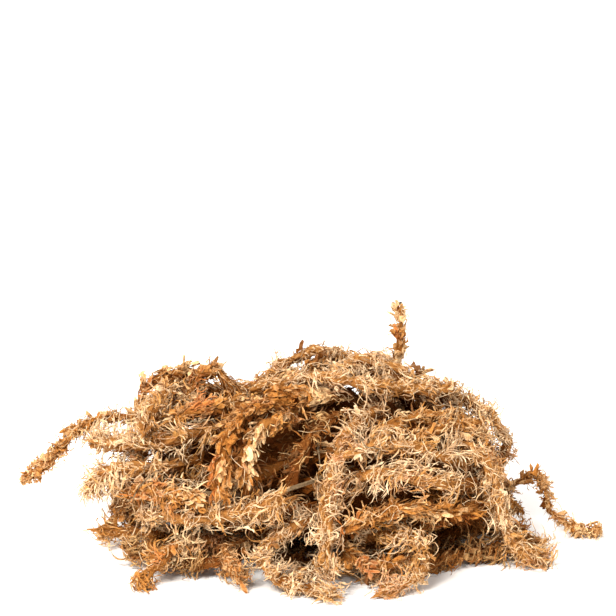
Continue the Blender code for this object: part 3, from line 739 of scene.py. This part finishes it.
DRAPES = dict(
    heads=dict(sweep=1.0), head_strays=0.3, bends=dict(swept_bend=1.0, out=-0.8), bend_strays=0.4,
    up_tuft=(0.2, 0.9), lies_down=0.9, starts_back=0.4,
    length=(8, 15), radius=(0.2, 0.42), turn=(0.5, 2.4), crinkle=(0.2, 0.7), waves=(0.8, 2.2),
    rings=6, from_root_shade=0.55, tone=0.55, varied=0.22,
)
THREADS = dict(
    heads=dict(way=0.7), head_strays=0.5, bends=dict(swept_bend=1.0, outward=-0.6), bend_strays=0.6,
    up_tuft=(0, 0.4), light_counts=2.5, light=(0.1, 1),
    length=(5, 11), radius=(0.13, 0.24), turn=(1.0, 4.5), crinkle=(0.25, 0.8), waves=(1.0, 2.4),
    rings=6, shag=0.1, from_root_shade=0.5, tone=0.8, varied=0.15,
)
# The leaves: small ones on the branches, small ones over the stems, and the wide flaps. Cup and curl say
# how they bend across and along, and lean is the angle that they stand off at, in radians.
BRANCH_LEAVES = dict(
    light_counts=3, light=(0.1, 1.2), share=(0.1, 1.0), length=(1.1, 2.8), width=(0.28, 0.6), lean=(0.3, 1.1),
    off_middle=0.4, from_root_shade=0.3, tone=0.58, varied=0.25,
)
# Open is how much of their openness the stem leaves keep, which sets their painted shade.
STEM_LEAVES = dict(
    light_counts=4, light=(0.04, 1), length=(2.2, 5.0), width=(0.5, 1.15), lean=(-0.05, 0.6),
    sweep=0.4, strays=0.45, along=(0.25, 0.8), tone=0.4, open=0.8,
)
FLAPS = dict(
    open_above=0.1, along_stem=(-4.5, 4.5), up_tuft=(-0.1, 0.3),
    faces=dict(outward=1.0), face_strays=0.4, heads=dict(ahead=1.1, way=0.6), head_strays=0.35,
    length=(4.0, 8.0), width=(1.3, 2.6), cup=(-0.5, 1.3), curl=(-0.7, 1.4), tone=0.34, varied=0.14,
)


def crinkled(kind, n, draw):
    """How far each branch waves off its arc, and how many waves it has."""
    return draw.uniform(*kind["crinkle"], n) * MM, draw.uniform(*kind["waves"], n)


def add_kind(gathered, tufts, on, lines, kind, draw):
    """Lays branches of one kind along the lines, kept in the box, and gives their radii."""
    lines.keep_in_box()
    radius = draw.uniform(*kind["radius"], len(on)) * MM
    look = tufts.look(on, kind["tone"], kind["varied"], draw)
    add_branches(gathered, lines, kind["rings"], radius, kind["shag"], kind["from_root_shade"], look, draw)
    return radius


def grow_branches(gathered, tufts, growth, draw):
    """The branches that stand out of a strand's tufts, and the small leaves on them."""
    heads = dict(sweep=growth["sweep"], own_way=1.0, **BRANCHES["heads"])
    counts = growth["branches"] * tufts.lushness * np.where(tufts.at_end, BRANCHES["more_at_end"], 1.0)
    in_light = tufts.is_open > LIGHT_ABOVE
    for chosen, rings in ((in_light, BRANCHES["rings_in_light"]), (~in_light, BRANCHES["rings_in_dark"])):
        kind = dict(BRANCHES, rings=rings, radius=growth["radius"], shag=growth["shag"])
        on = so_many(np.where(chosen, counts, 0), draw)
        n = len(on)
        heading = unit(tufts.direction(on, heads, growth["spread"], draw))
        bend = tufts.direction(on, kind["bends"], growth["spread"], draw)
        bend[:, 2] -= kind["sags"]
        room = np.clip(tufts.reach[on] / kind["full_reach"], *kind["room"])
        length = draw.uniform(*growth["length"], n) * MM * room
        turn = draw.uniform(*growth["turn"], n)
        crinkle, waves = crinkled(kind, n, draw)
        lines = Lines(tufts.scattered(on, draw), heading, bend, length, turn, crinkle, waves, draw)
        radius = add_kind(gathered, tufts, on, lines, kind, draw)
        grow_leaves(gathered, tufts, lines, on, radius, growth, draw)


def grow_leaves(gathered, tufts, lines, on, radius, growth, draw):
    """The small leaves that stand off the branches."""
    kind = BRANCH_LEAVES
    counts = growth["leaves"] * np.clip(kind["light_counts"] * tufts.is_open[on], *kind["light"])
    leafy = so_many(counts, draw)
    n = len(leafy)
    share = draw.uniform(*kind["share"], n)
    place, ahead, one, other = lines.chosen(leafy).frame(share)
    angle = draw.uniform(0, 2 * math.pi, n)[:, None]
    out = np.cos(angle) * one + np.sin(angle) * other
    length, width = draw.uniform(*kind["length"], n) * MM, draw.uniform(*kind["width"], n) * MM
    lean = draw.uniform(*kind["lean"], n)
    base = place + out * (kind["off_middle"] * radius[leafy])[:, None]
    along = kind["from_root_shade"] + (1 - kind["from_root_shade"]) * share
    look = tufts.look(on[leafy], kind["tone"], kind["varied"], draw)
    add_leaves(gathered, base, ahead, out, length, width, lean, along, look)


def grow_lying(gathered, tufts, growth, draw):
    """The branches that hang down along the stem and clothe it."""
    kind = LYING
    counts = growth["lying"] * (kind["always"] + kind["if_lush"] * tufts.lushness) * tufts.off_floor
    on = so_many(counts, draw)
    n = len(on)
    heading = unit(tufts.direction(on, kind["heads"], kind["head_strays"], draw))
    start = tufts.root[on] + tufts.along_stem(on, kind["along_stem"], draw)
    start = start - tufts.outward[on] * (draw.uniform(*kind["into_stem"], n) * MM)[:, None]
    bend = tufts.direction(on, kind["bends"], kind["bend_strays"], draw)
    turn, length = draw.uniform(*kind["turn"], n), draw.uniform(*kind["length"], n) * MM
    crinkle, waves = crinkled(kind, n, draw)
    lines = Lines(start, heading, bend, length, turn, crinkle, waves, draw)
    add_kind(gathered, tufts, on, lines, kind, draw)


def grow_drapes(gathered, tufts, growth, draw):
    """The branches that lie over the heap and across to the next strand."""
    kind = dict(DRAPES, shag=growth["shag"])
    on = so_many(growth["drapes"] * tufts.lushness * (tufts.is_open > LIGHT_ABOVE), draw)
    n = len(on)
    out = tufts.out[on]
    heading = tufts.direction(on, kind["heads"], kind["head_strays"], draw)
    heading = unit(heading - kind["lies_down"] * out * dots(heading, out))
    start = tufts.root[on] + tufts.up_tuft(on, kind["up_tuft"], draw)
    length = draw.uniform(*kind["length"], n) * MM
    start = start - heading * (kind["starts_back"] * length)[:, None]
    bend = tufts.direction(on, kind["bends"], kind["bend_strays"], draw)
    turn = draw.uniform(*kind["turn"], n)
    crinkle, waves = crinkled(kind, n, draw)
    lines = Lines(start, heading, bend, length, turn, crinkle, waves, draw)
    add_kind(gathered, tufts, on, lines, kind, draw)


def grow_threads(gathered, tufts, growth, draw):
    """Pale, bare and crinkled threads: dried branch ends that have lost their leaves."""
    kind = THREADS
    lit = np.clip(kind["light_counts"] * tufts.is_open, *kind["light"])
    on = so_many(growth["threads"] * tufts.lushness * lit, draw)
    n = len(on)
    heads = dict(kind["heads"], sweep=growth["sweep"])
    heading = unit(tufts.direction(on, heads, kind["head_strays"], draw))
    bend = tufts.direction(on, kind["bends"], kind["bend_strays"], draw)
    start = tufts.scattered(on, draw) + tufts.up_tuft(on, kind["up_tuft"], draw)
    turn, length = draw.uniform(*kind["turn"], n), draw.uniform(*kind["length"], n) * MM
    crinkle, waves = crinkled(kind, n, draw)
    lines = Lines(start, heading, bend, length, turn, crinkle, waves, draw)
    add_kind(gathered, tufts, on, lines, kind, draw)


def grow_flaps(gathered, tufts, growth, draw):
    """The wide leaves of the thick strands."""
    kind = FLAPS
    on = so_many(growth["flaps"] * np.where(tufts.is_open > kind["open_above"], tufts.lushness, 0), draw)
    n = len(on)
    if n == 0:
        return
    base = tufts.root[on] + tufts.along_stem(on, kind["along_stem"], draw)
    base = base + tufts.up_tuft(on, kind["up_tuft"], draw)
    face = unit(tufts.direction(on, kind["faces"], kind["face_strays"], draw))
    way = unit(tufts.direction(on, kind["heads"], kind["head_strays"], draw))
    face = unit(face - way * dots(way, face))
    length, width = draw.uniform(*kind["length"], n) * MM, draw.uniform(*kind["width"], n) * MM
    cup, curl = draw.uniform(*kind["cup"], n), draw.uniform(*kind["curl"], n)
    look = tufts.look(on, kind["tone"], kind["varied"], draw)
    add_flaps(gathered, base, way, face, length, width, cup, curl, look, draw)


def grow_tufts(gathered, strand, growth, tree, sweeps, draw):
    """All that grows from one strand's tufts."""
    tufts = Tufts(strand, growth, tree, sweeps, draw)
    for grow in (grow_branches, grow_lying, grow_drapes, grow_threads, grow_flaps):
        grow(gathered, tufts, growth, draw)


# The stem's own look: along runs from the root, painted in shade, to the tip, tone from brown to pale, rim
# is the share of pale edge, open that of open sky, which sets the painted shade, and rust that of rusty
# colour. A stem gets more painted shade than what grows on it, and keeps this share of its solid's tufts.
# Its points this near to its middle stay where they are.
STEM_LOOK = dict(along=0.3, tone=0.3, rim=0.0, rust=0.1)
STEM_OPEN = 0.6
TUFT_SHARE = 0.58
MIDDLE_IS_WITHIN = 1 * MM
# The bare stalk's look: its along and open are fixed, and give it an even share of painted shade.
BARE_STALK_LOOK = dict(along=0.6, tone=0.4, rim=0.0, open=0.4, rust=0.0)


def stem_points(solid, strand, slimmer):
    """The solid's points, with its tufts drawn in and its rings made slimmer."""
    points = solid.points.copy()
    for tip in np.nonzero(strand.is_tip)[0]:
        root = solid.points[list(solid.next_to[tip])].mean(axis=0)
        points[tip] = root + TUFT_SHARE * (points[tip] - root)
    apart = np.linalg.norm(points[:, None] - strand.middles[None], axis=2)
    off_middle = (apart.min(axis=1) > MIDDLE_IS_WITHIN)[:, None]
    return points + slimmer * (strand.middles[apart.argmin(axis=1)] - points) * off_middle


def corner_normals(points, faces):
    normals = np.zeros_like(points)
    flat = np.cross(points[faces[:, 1]] - points[faces[:, 0]], points[faces[:, 2]] - points[faces[:, 0]])
    for k in range(3):
        np.add.at(normals, faces[:, k], flat)
    return unit(normals)


def grow_stem(gathered, solid, strand, growth, tree, sweeps, draw):
    """The stem with its tufts, and the small leaves that lie over them like shingles."""
    points, faces = stem_points(solid, strand, growth["slimmer"]), solid.faces
    is_open = openness(solid.points, corner_normals(solid.points, faces), tree, draw)
    is_open = is_open * (solid.points[:, 2] > FLOOR_IS_BELOW)
    gathered.add(points[None], faces, False, open=STEM_OPEN * is_open[None], **STEM_LOOK)

    kind = STEM_LEAVES
    first, one, other = (points[faces[:, k]] for k in range(3))
    normal = np.cross(one - first, other - first)
    area = np.linalg.norm(normal, axis=1) / 2
    seen = is_open[faces].mean(axis=1)
    lit = np.clip(kind["light_counts"] * seen, *kind["light"])
    on = so_many(growth["scales"] * area / MM**2 * lit * (seen > 0), draw)
    n = len(on)
    share = draw.random((n, 2))
    share = np.where(share.sum(axis=1, keepdims=True) > 1, 1 - share, share)
    base = first[on] + share[:, :1] * (one - first)[on] + share[:, 1:] * (other - first)[on]
    out = unit(normal)[on]
    apart = np.linalg.norm(base[:, None] - strand.middles[None, ::2], axis=2)
    ahead = strand.ahead(2 * apart.argmin(axis=1)) if len(strand.middles) > 1 else sweeps[0].at(base)
    way = ahead + kind["sweep"] * sweeps[1].at(base) + kind["strays"] * draw.normal(size=(n, 3))
    way = unit(way - out * dots(way, out))
    length, width = draw.uniform(*kind["length"], n) * MM, draw.uniform(*kind["width"], n) * MM
    lean = draw.uniform(*kind["lean"], n)
    shade, rust = shade_and_rust(base, growth["pale"], STEM_LEAVES_VARY, sweeps, draw)
    look = dict(
        tone=np.clip(kind["tone"] + shade, 0, 1)[:, None],
        open=kind["open"] * seen[on][:, None],
        rust=np.clip(rust, 0, 1)[:, None],
    )
    add_leaves(gathered, base, way, out, length, width, lean, draw.uniform(*kind["along"], n), look)


# The loose pieces that lie over the whole heap: how many threads or twigs, the rings of each, their
# lengths, radii and height over the solids in mm, how much they bend, and how pale they are. Beside its
# steady bend, each turns by a share of it at every step.
STRAYS = {
    "stray_threads": dict(
        slot="straw", count=260, rings=14, length=(18, 42), radius=(0.15, 0.25), lift=(1.5, 4.0),
        bent=0.28, tone=0.9,
    ),
    "bare_twigs": dict(
        slot="stalk", count=16, rings=9, length=(20, 34), radius=(0.35, 0.5), lift=(2.5, 4.5),
        bent=0.08, tone=0.5,
    ),
}
# The loose pieces' look: along and open are fixed, and give them an even share of painted shade.
STRAYS_LOOK = dict(along=0.9, rim=0.3, open=0.45, rust=0.0)
STRAY_TONES_VARY = 0.15
STRAY_TAPER = ((0, 0.15, 0.8, 1), (0.5, 1.0, 0.9, 0.3))
STRAYS_TURN = 0.5
# A direction that no path is likely to follow, to lay out the sides of a tube.
SIDE_GUIDE = (0.31, 0.17, 0.93)
# Each starts at a tuft that is open and off the floor, on a strand that lies in the heap.
STARTS_ARE_OPEN = 0.25
STARTS_ABOVE = 6 * MM
NO_STARTS_ON = ("middle", "bare", "sprig", "spray")


def tube_faces(rings):
    """The triangles of a closed tube of three-sided rings."""
    faces = [(0, 2, 1)]
    for ring in range(rings - 1):
        for k in range(3):
            a, b = 3 * ring + k, 3 * ring + (k + 1) % 3
            faces += [(a, b, b + 3), (a, b + 3, a + 3)]
    end = 3 * (rings - 1)
    return np.array(faces + [(end, end + 1, end + 2)])


def add_tubes(gathered, paths, radius, look):
    """Thin tubes along the paths, which are n x rings x 3, tapering at both ends."""
    n, rings = paths.shape[:2]
    ahead = unit(np.gradient(paths, axis=1))
    one = unit(np.cross(ahead, np.array(SIDE_GUIDE)))
    other = np.cross(ahead, one)
    radius = (radius[:, None] * np.interp(np.linspace(0, 1, rings), *STRAY_TAPER))[..., None]
    points = np.empty((n, rings, 3, 3))
    for k in range(3):
        angle = 2 * math.pi * k / 3
        points[:, :, k] = paths + radius * (math.cos(angle) * one + math.sin(angle) * other)
    gathered.add(points.reshape(n, 3 * rings, 3), tube_faces(rings), True, **look)


def over_the_heap(starts, step, rings, lift, bent, tree, draw):
    """Paths that wander over the heap, a little above its solids."""
    way = unit(draw.normal(size=starts.shape))
    turn = bent * draw.normal(size=starts.shape)
    paths = np.empty((len(starts), rings, 3))
    place = starts.copy()
    for ring in range(rings):
        for n, start in enumerate(place):
            found, normal = tree.find_nearest(Vector(start))[:2]
            if found is not None:
                normal = np.array(normal)
                way[n] = unit(way[n] - normal * (way[n] @ normal))
                place[n] = np.array(found) + lift[n] * normal
        paths[:, ring] = place
        way = unit(way + turn + STRAYS_TURN * bent * draw.normal(size=starts.shape))
        place = place + step[:, None] * way
    return paths


def grow_strays(gathered, kind, starts, tree, draw):
    """Loose threads or twigs, each from a start of its own."""
    count, rings = kind["count"], kind["rings"]
    starts = starts[draw.choice(len(starts), count, replace=False)]
    step = draw.uniform(*kind["length"], count) * MM / rings
    lift = draw.uniform(*kind["lift"], count) * MM
    paths = over_the_heap(starts, step, rings, lift, kind["bent"], tree, draw)
    tones = np.clip(kind["tone"] + STRAY_TONES_VARY * draw.normal(size=(count, 1)), 0, 1)
    add_tubes(gathered, paths, draw.uniform(*kind["radius"], count) * MM, dict(STRAYS_LOOK, tone=tones))


def open_tips(strand, tree, draw):
    """The tips of the strand's tufts where a loose thread or twig may start."""
    clear = openness(strand.tips, unit(strand.tips - strand.roots), tree, draw)
    return strand.tips[(clear > STARTS_ARE_OPEN) & (strand.tips[:, 2] > STARTS_ABOVE)]


def read_value(tree, name):
    node = tree.nodes.new("ShaderNodeAttribute")
    node.attribute_name = name
    return node.outputs["Fac"]


def noise(tree, scale, detail, roughness):
    where = tree.nodes.new("ShaderNodeTexCoord")
    node = tree.nodes.new("ShaderNodeTexNoise")
    node.inputs["Scale"].default_value = scale
    node.inputs["Detail"].default_value = detail
    node.inputs["Roughness"].default_value = roughness
    tree.links.new(where.outputs["Object"], node.inputs["Vector"])
    return node.outputs["Fac"]


def sloped(tree, value, low, high, to_low=0.0, to_high=1.0):
    """Eases from to_low to to_high as the value goes from low to high."""
    node = tree.nodes.new("ShaderNodeMapRange")
    node.interpolation_type = "SMOOTHSTEP"
    for socket, number in zip(("From Min", "From Max", "To Min", "To Max"), (low, high, to_low, to_high)):
        node.inputs[socket].default_value = number
    tree.links.new(value, node.inputs["Value"])
    return node.outputs["Result"]


def math_node(tree, operation, *values):
    node = tree.nodes.new("ShaderNodeMath")
    node.operation = operation
    for socket, value in zip(node.inputs, values):
        if isinstance(value, (int, float)):
            socket.default_value = value
        else:
            tree.links.new(value, socket)
    return node.outputs["Value"]


def times(tree, one, other):
    return math_node(tree, "MULTIPLY", one, other)


def plus(tree, one, other):
    return math_node(tree, "ADD", one, other)


def mixed(tree, share, one, other):
    node = tree.nodes.new("ShaderNodeMix")
    node.data_type = "RGBA"
    tree.links.new(share, node.inputs["Factor"])
    for socket, value in (("A", one), ("B", other)):
        tree.links.new(value, next(s for s in node.inputs if s.name == socket and s.type == "RGBA"))
    return next(s for s in node.outputs if s.type == "RGBA")


# The unevenness of dried moss: scale of its noise, detail and roughness.
GRAIN = (1500, 3, 0.6)
CRUMPLE = (620, 4, 0.7)
PATCHES = (75, 3, 0.65)
# What makes it pale. A slope is where it starts, where it ends, and what it goes from and to.
TONE_PALES = 0.8
PATCHES_PALE = 0.6
GRAIN_PALES = 0.3
PALE_SLOPE = (0.66, 1.2)
# Only the outer part of a branch turns pale: partly the tips' own bleaching, partly painted shade that keeps
# the inner part in the body colour.
TIPS_PALE = (0.25, 0.9, 0.25, 1.0)
# How the patches rust it and how rusty it gets at most, where its edges turn pale, in part as a painted
# highlight, and how the painted shade darkens it at the roots, in shaded places and in its creases.
PATCHES_RUST = (0.57, 0.67, 0.0, 0.35)
MOST_RUST = 0.85
EDGE_SLOPE = (0.3, 1.0)
EDGE_PALES = 0.8
ROOTS_PAINTED_SHADE = (0.0, 0.6, 0.1, 1.0)
SHADE_DARKENS = (0.0, 0.62, 0.1, 1.0)
CREASES_PAINTED_SHADE = (0.36, 0.54, 0.5, 1.0)
# The surface: how the grain changes its roughness, the grain's share of the relief, the relief's strength
# and depth, and the shine.
ROUGHNESS = (0.3, 0.7, 0.55, 0.85)
GRAIN_RAISES = 0.35
RELIEF_STRENGTH = 0.7
RELIEF_DEPTH = 1.2 * MM
SHINE = 0.02
# The colours given to each shade: first the dark colour of the painted shade, then body, pale and rust.
COLOURS = ("Painted_Shade", "Body", "Pale", "Rust")


def dried_moss_group():
    """Colour, roughness and fine relief of dried moss, shared by all its shades, with shade painted into the
    colour.
    """
    tree = bpy.data.node_groups.new("dried_moss", "ShaderNodeTree")
    for socket in COLOURS:
        tree.interface.new_socket(socket, in_out="INPUT", socket_type="NodeSocketColor")
    tree.interface.new_socket("Rust Share", in_out="INPUT", socket_type="NodeSocketFloat")
    tree.interface.new_socket("Color", in_out="OUTPUT", socket_type="NodeSocketColor")
    for socket in ("Roughness", "Height"):
        tree.interface.new_socket(socket, in_out="OUTPUT", socket_type="NodeSocketFloat")
    given = tree.nodes.new("NodeGroupInput").outputs
    out = tree.nodes.new("NodeGroupOutput").inputs
    along, tone, rim, is_open, rust = (read_value(tree, name) for name in Gathered.VALUES)
    grain, crumple, patches = (noise(tree, *kind) for kind in (GRAIN, CRUMPLE, PATCHES))

    paleness = plus(tree, times(tree, tone, TONE_PALES), times(tree, patches, PATCHES_PALE))
    paleness = plus(tree, paleness, times(tree, grain, GRAIN_PALES))
    paleness = times(tree, sloped(tree, paleness, *PALE_SLOPE), sloped(tree, along, *TIPS_PALE))
    colour = mixed(tree, paleness, given["Body"], given["Pale"])
    rust = plus(tree, rust, sloped(tree, patches, *PATCHES_RUST))
    rust = math_node(tree, "MINIMUM", times(tree, rust, given["Rust Share"]), MOST_RUST)
    colour = mixed(tree, rust, colour, given["Rust"])
    # Pale edges: partly the leaves' own pale margins, partly a painted highlight where the edges catch the
    # light.
    edge = times(tree, sloped(tree, rim, *EDGE_SLOPE), times(tree, tone, EDGE_PALES))
    colour = mixed(tree, edge, colour, given["Pale"])
    # Painted shade: the colour is mixed towards the dark shade colour at the roots, where little sky is open,
    # and in the crumple's creases.
    lit = times(tree, sloped(tree, along, *ROOTS_PAINTED_SHADE), sloped(tree, is_open, *SHADE_DARKENS))
    lit = times(tree, lit, sloped(tree, crumple, *CREASES_PAINTED_SHADE))
    colour = mixed(tree, lit, given["Painted_Shade"], colour)
    tree.links.new(colour, out["Color"])
    tree.links.new(sloped(tree, grain, *ROUGHNESS), out["Roughness"])
    tree.links.new(plus(tree, crumple, times(tree, grain, GRAIN_RAISES)), out["Height"])
    return tree


# Each shade's colours, the first being the dark colour of the painted shade, and the share of its surface
# that may turn rusty.
SHADES = {
    "straw": dict(
        painted_shade=(0.150, 0.040, 0.0040), body=(0.62, 0.302, 0.086), pale=(0.95, 0.72, 0.45),
        rust=(0.62, 0.20, 0.055), share=0.5,
    ),
    "gold": dict(
        painted_shade=(0.130, 0.032, 0.0030), body=(0.55, 0.240, 0.057), pale=(0.93, 0.67, 0.37),
        rust=(0.57, 0.15, 0.038), share=0.55,
    ),
    "amber": dict(
        painted_shade=(0.115, 0.026, 0.0025), body=(0.50, 0.202, 0.043), pale=(0.89, 0.60, 0.30),
        rust=(0.53, 0.13, 0.030), share=0.55,
    ),
    "brown": dict(
        painted_shade=(0.075, 0.015, 0.0018), body=(0.33, 0.122, 0.027), pale=(0.67, 0.42, 0.18),
        rust=(0.40, 0.10, 0.022), share=0.5,
    ),
    "stalk": dict(
        painted_shade=(0.060, 0.034, 0.016), body=(0.26, 0.17, 0.09), pale=(0.48, 0.36, 0.22),
        rust=(0.24, 0.13, 0.06), share=0.3,
    ),
}


def moss_material(shade, group):
    values = SHADES[shade]
    made = bpy.data.materials.new("moss_" + shade)
    made.use_nodes = True
    tree = made.node_tree
    shader = tree.nodes["Principled BSDF"]
    look = tree.nodes.new("ShaderNodeGroup")
    look.node_tree = group
    for socket in COLOURS:
        look.inputs[socket].default_value = (*values[socket.lower()], 1)
    look.inputs["Rust Share"].default_value = values["share"]
    bump = tree.nodes.new("ShaderNodeBump")
    bump.inputs["Strength"].default_value = RELIEF_STRENGTH
    bump.inputs["Distance"].default_value = RELIEF_DEPTH
    tree.links.new(look.outputs["Color"], shader.inputs["Base Color"])
    tree.links.new(look.outputs["Roughness"], shader.inputs["Roughness"])
    tree.links.new(look.outputs["Height"], bump.inputs["Height"])
    tree.links.new(bump.outputs["Normal"], shader.inputs["Normal"])
    shader.inputs["Specular IOR Level"].default_value = SHINE
    return made


FLOOR_SIZE = 12
FLOOR_COLOUR = (0.93, 0.92, 0.90, 1)
FLOOR_ROUGHNESS = 0.7
# The lights' places and sizes are in metres and their powers in watts. All look at one point in the heap.
LIGHTS = {
    "key": dict(place=(-0.45, -0.75, 0.95), size=0.45, power=25, colour=(1.0, 0.97, 0.93)),
    "fill": dict(place=(0.8, -0.6, 0.5), size=0.7, power=4, colour=(1.0, 0.98, 0.96)),
    "back": dict(place=(-0.35, 0.95, 0.9), size=0.6, power=12, colour=(1.0, 0.98, 0.95)),
}
LIT_POINT = (0, 0, 0.04)
ROOM_COLOUR = (1.0, 0.99, 0.98, 1)
ROOM_LIGHT = 0.6


def floor():
    bpy.ops.mesh.primitive_plane_add(size=FLOOR_SIZE)
    made = bpy.context.object
    made.name = "floor"
    material = bpy.data.materials.new("pale_floor")
    material.use_nodes = True
    shader = material.node_tree.nodes["Principled BSDF"]
    shader.inputs["Base Color"].default_value = FLOOR_COLOUR
    shader.inputs["Roughness"].default_value = FLOOR_ROUGHNESS
    made.data.materials.append(material)


def light(name, place, size, power, colour):
    data = bpy.data.lights.new(name, "AREA")
    data.size = size
    data.energy = power
    data.color = colour
    made = bpy.data.objects.new(name, data)
    made.location = place
    made.rotation_euler = (Vector(LIT_POINT) - Vector(place)).to_track_quat("-Z", "Y").to_euler()
    bpy.context.scene.collection.objects.link(made)


def room():
    """The even light from all around."""
    world = bpy.data.worlds.new("studio")
    world.use_nodes = True
    world.node_tree.nodes["Background"].inputs["Color"].default_value = ROOM_COLOUR
    world.node_tree.nodes["Background"].inputs["Strength"].default_value = ROOM_LIGHT
    bpy.context.scene.world = world
    bpy.context.scene.view_settings.view_transform = "Standard"


def camera():
    """The photograph's camera, placed so that the heap's origin falls on its own pixel."""
    data = bpy.data.cameras.new("camera")
    data.lens = LENS
    data.sensor_width = SENSOR
    back = Vector((0, -math.cos(CAMERA_RISE), math.sin(CAMERA_RISE)))
    up = Vector((0, math.sin(CAMERA_RISE), math.cos(CAMERA_RISE)))
    pixel = MM_PER_PIXEL * MM
    target = Vector((1, 0, 0)) * (IMAGE_SIZE / 2 - ORIGIN_PIXEL[0]) * pixel
    target += up * (ORIGIN_PIXEL[1] - IMAGE_SIZE / 2) * pixel
    made = bpy.data.objects.new("camera", data)
    made.location = target + back * (pixel * IMAGE_SIZE * LENS / SENSOR)
    made.rotation_euler = (-back).to_track_quat("-Z", "Y").to_euler()
    bpy.context.scene.collection.objects.link(made)
    bpy.context.scene.camera = made


def main():
    camera()
    floor()
    for name, values in LIGHTS.items():
        light(name, **values)
    room()
    group = dried_moss_group()
    materials = {shade: moss_material(shade, group) for shade in SHADES}
    slot_of = {part["node"]: part["material_slot"] for part in frame["record"]["subparts"]}
    names = sorted(frame["nodes"])
    solids = {name: Solid(frame["nodes"][name]) for name in names}
    tree = search_tree(solids.values())
    sweeps = [Sweep(np.random.default_rng((SEED, own))) for own in SWEEP_SEEDS]
    starts = []
    for n, name in enumerate(names):
        draw = np.random.default_rng((SEED, n))
        kind = KIND_OF.get(name, OTHER_STRANDS)
        solid = solids[name]
        gathered = Gathered()
        if kind == "bare":
            gathered.add(solid.points[None], solid.faces, False, **BARE_STALK_LOOK)
        else:
            strand = Cover(solid) if kind == "middle" else Strand(solid)
            grow_stem(gathered, solid, strand, GROWTH[kind], tree, sweeps, draw)
            grow_tufts(gathered, strand, GROWTH[kind], tree, sweeps, draw)
        piece = gathered.as_piece("moss_" + name, materials[slot_of[name]])
        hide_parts(name)
        if kind not in NO_STARTS_ON:
            starts.append(open_tips(strand, tree, draw))
    starts = np.vstack(starts)
    draw = np.random.default_rng((SEED, STRAYS_SEED))
    for name, kind in STRAYS.items():
        gathered = Gathered()
        grow_strays(gathered, kind, starts, tree, draw)
        gathered.as_piece(name, materials[kind["slot"]])


main()
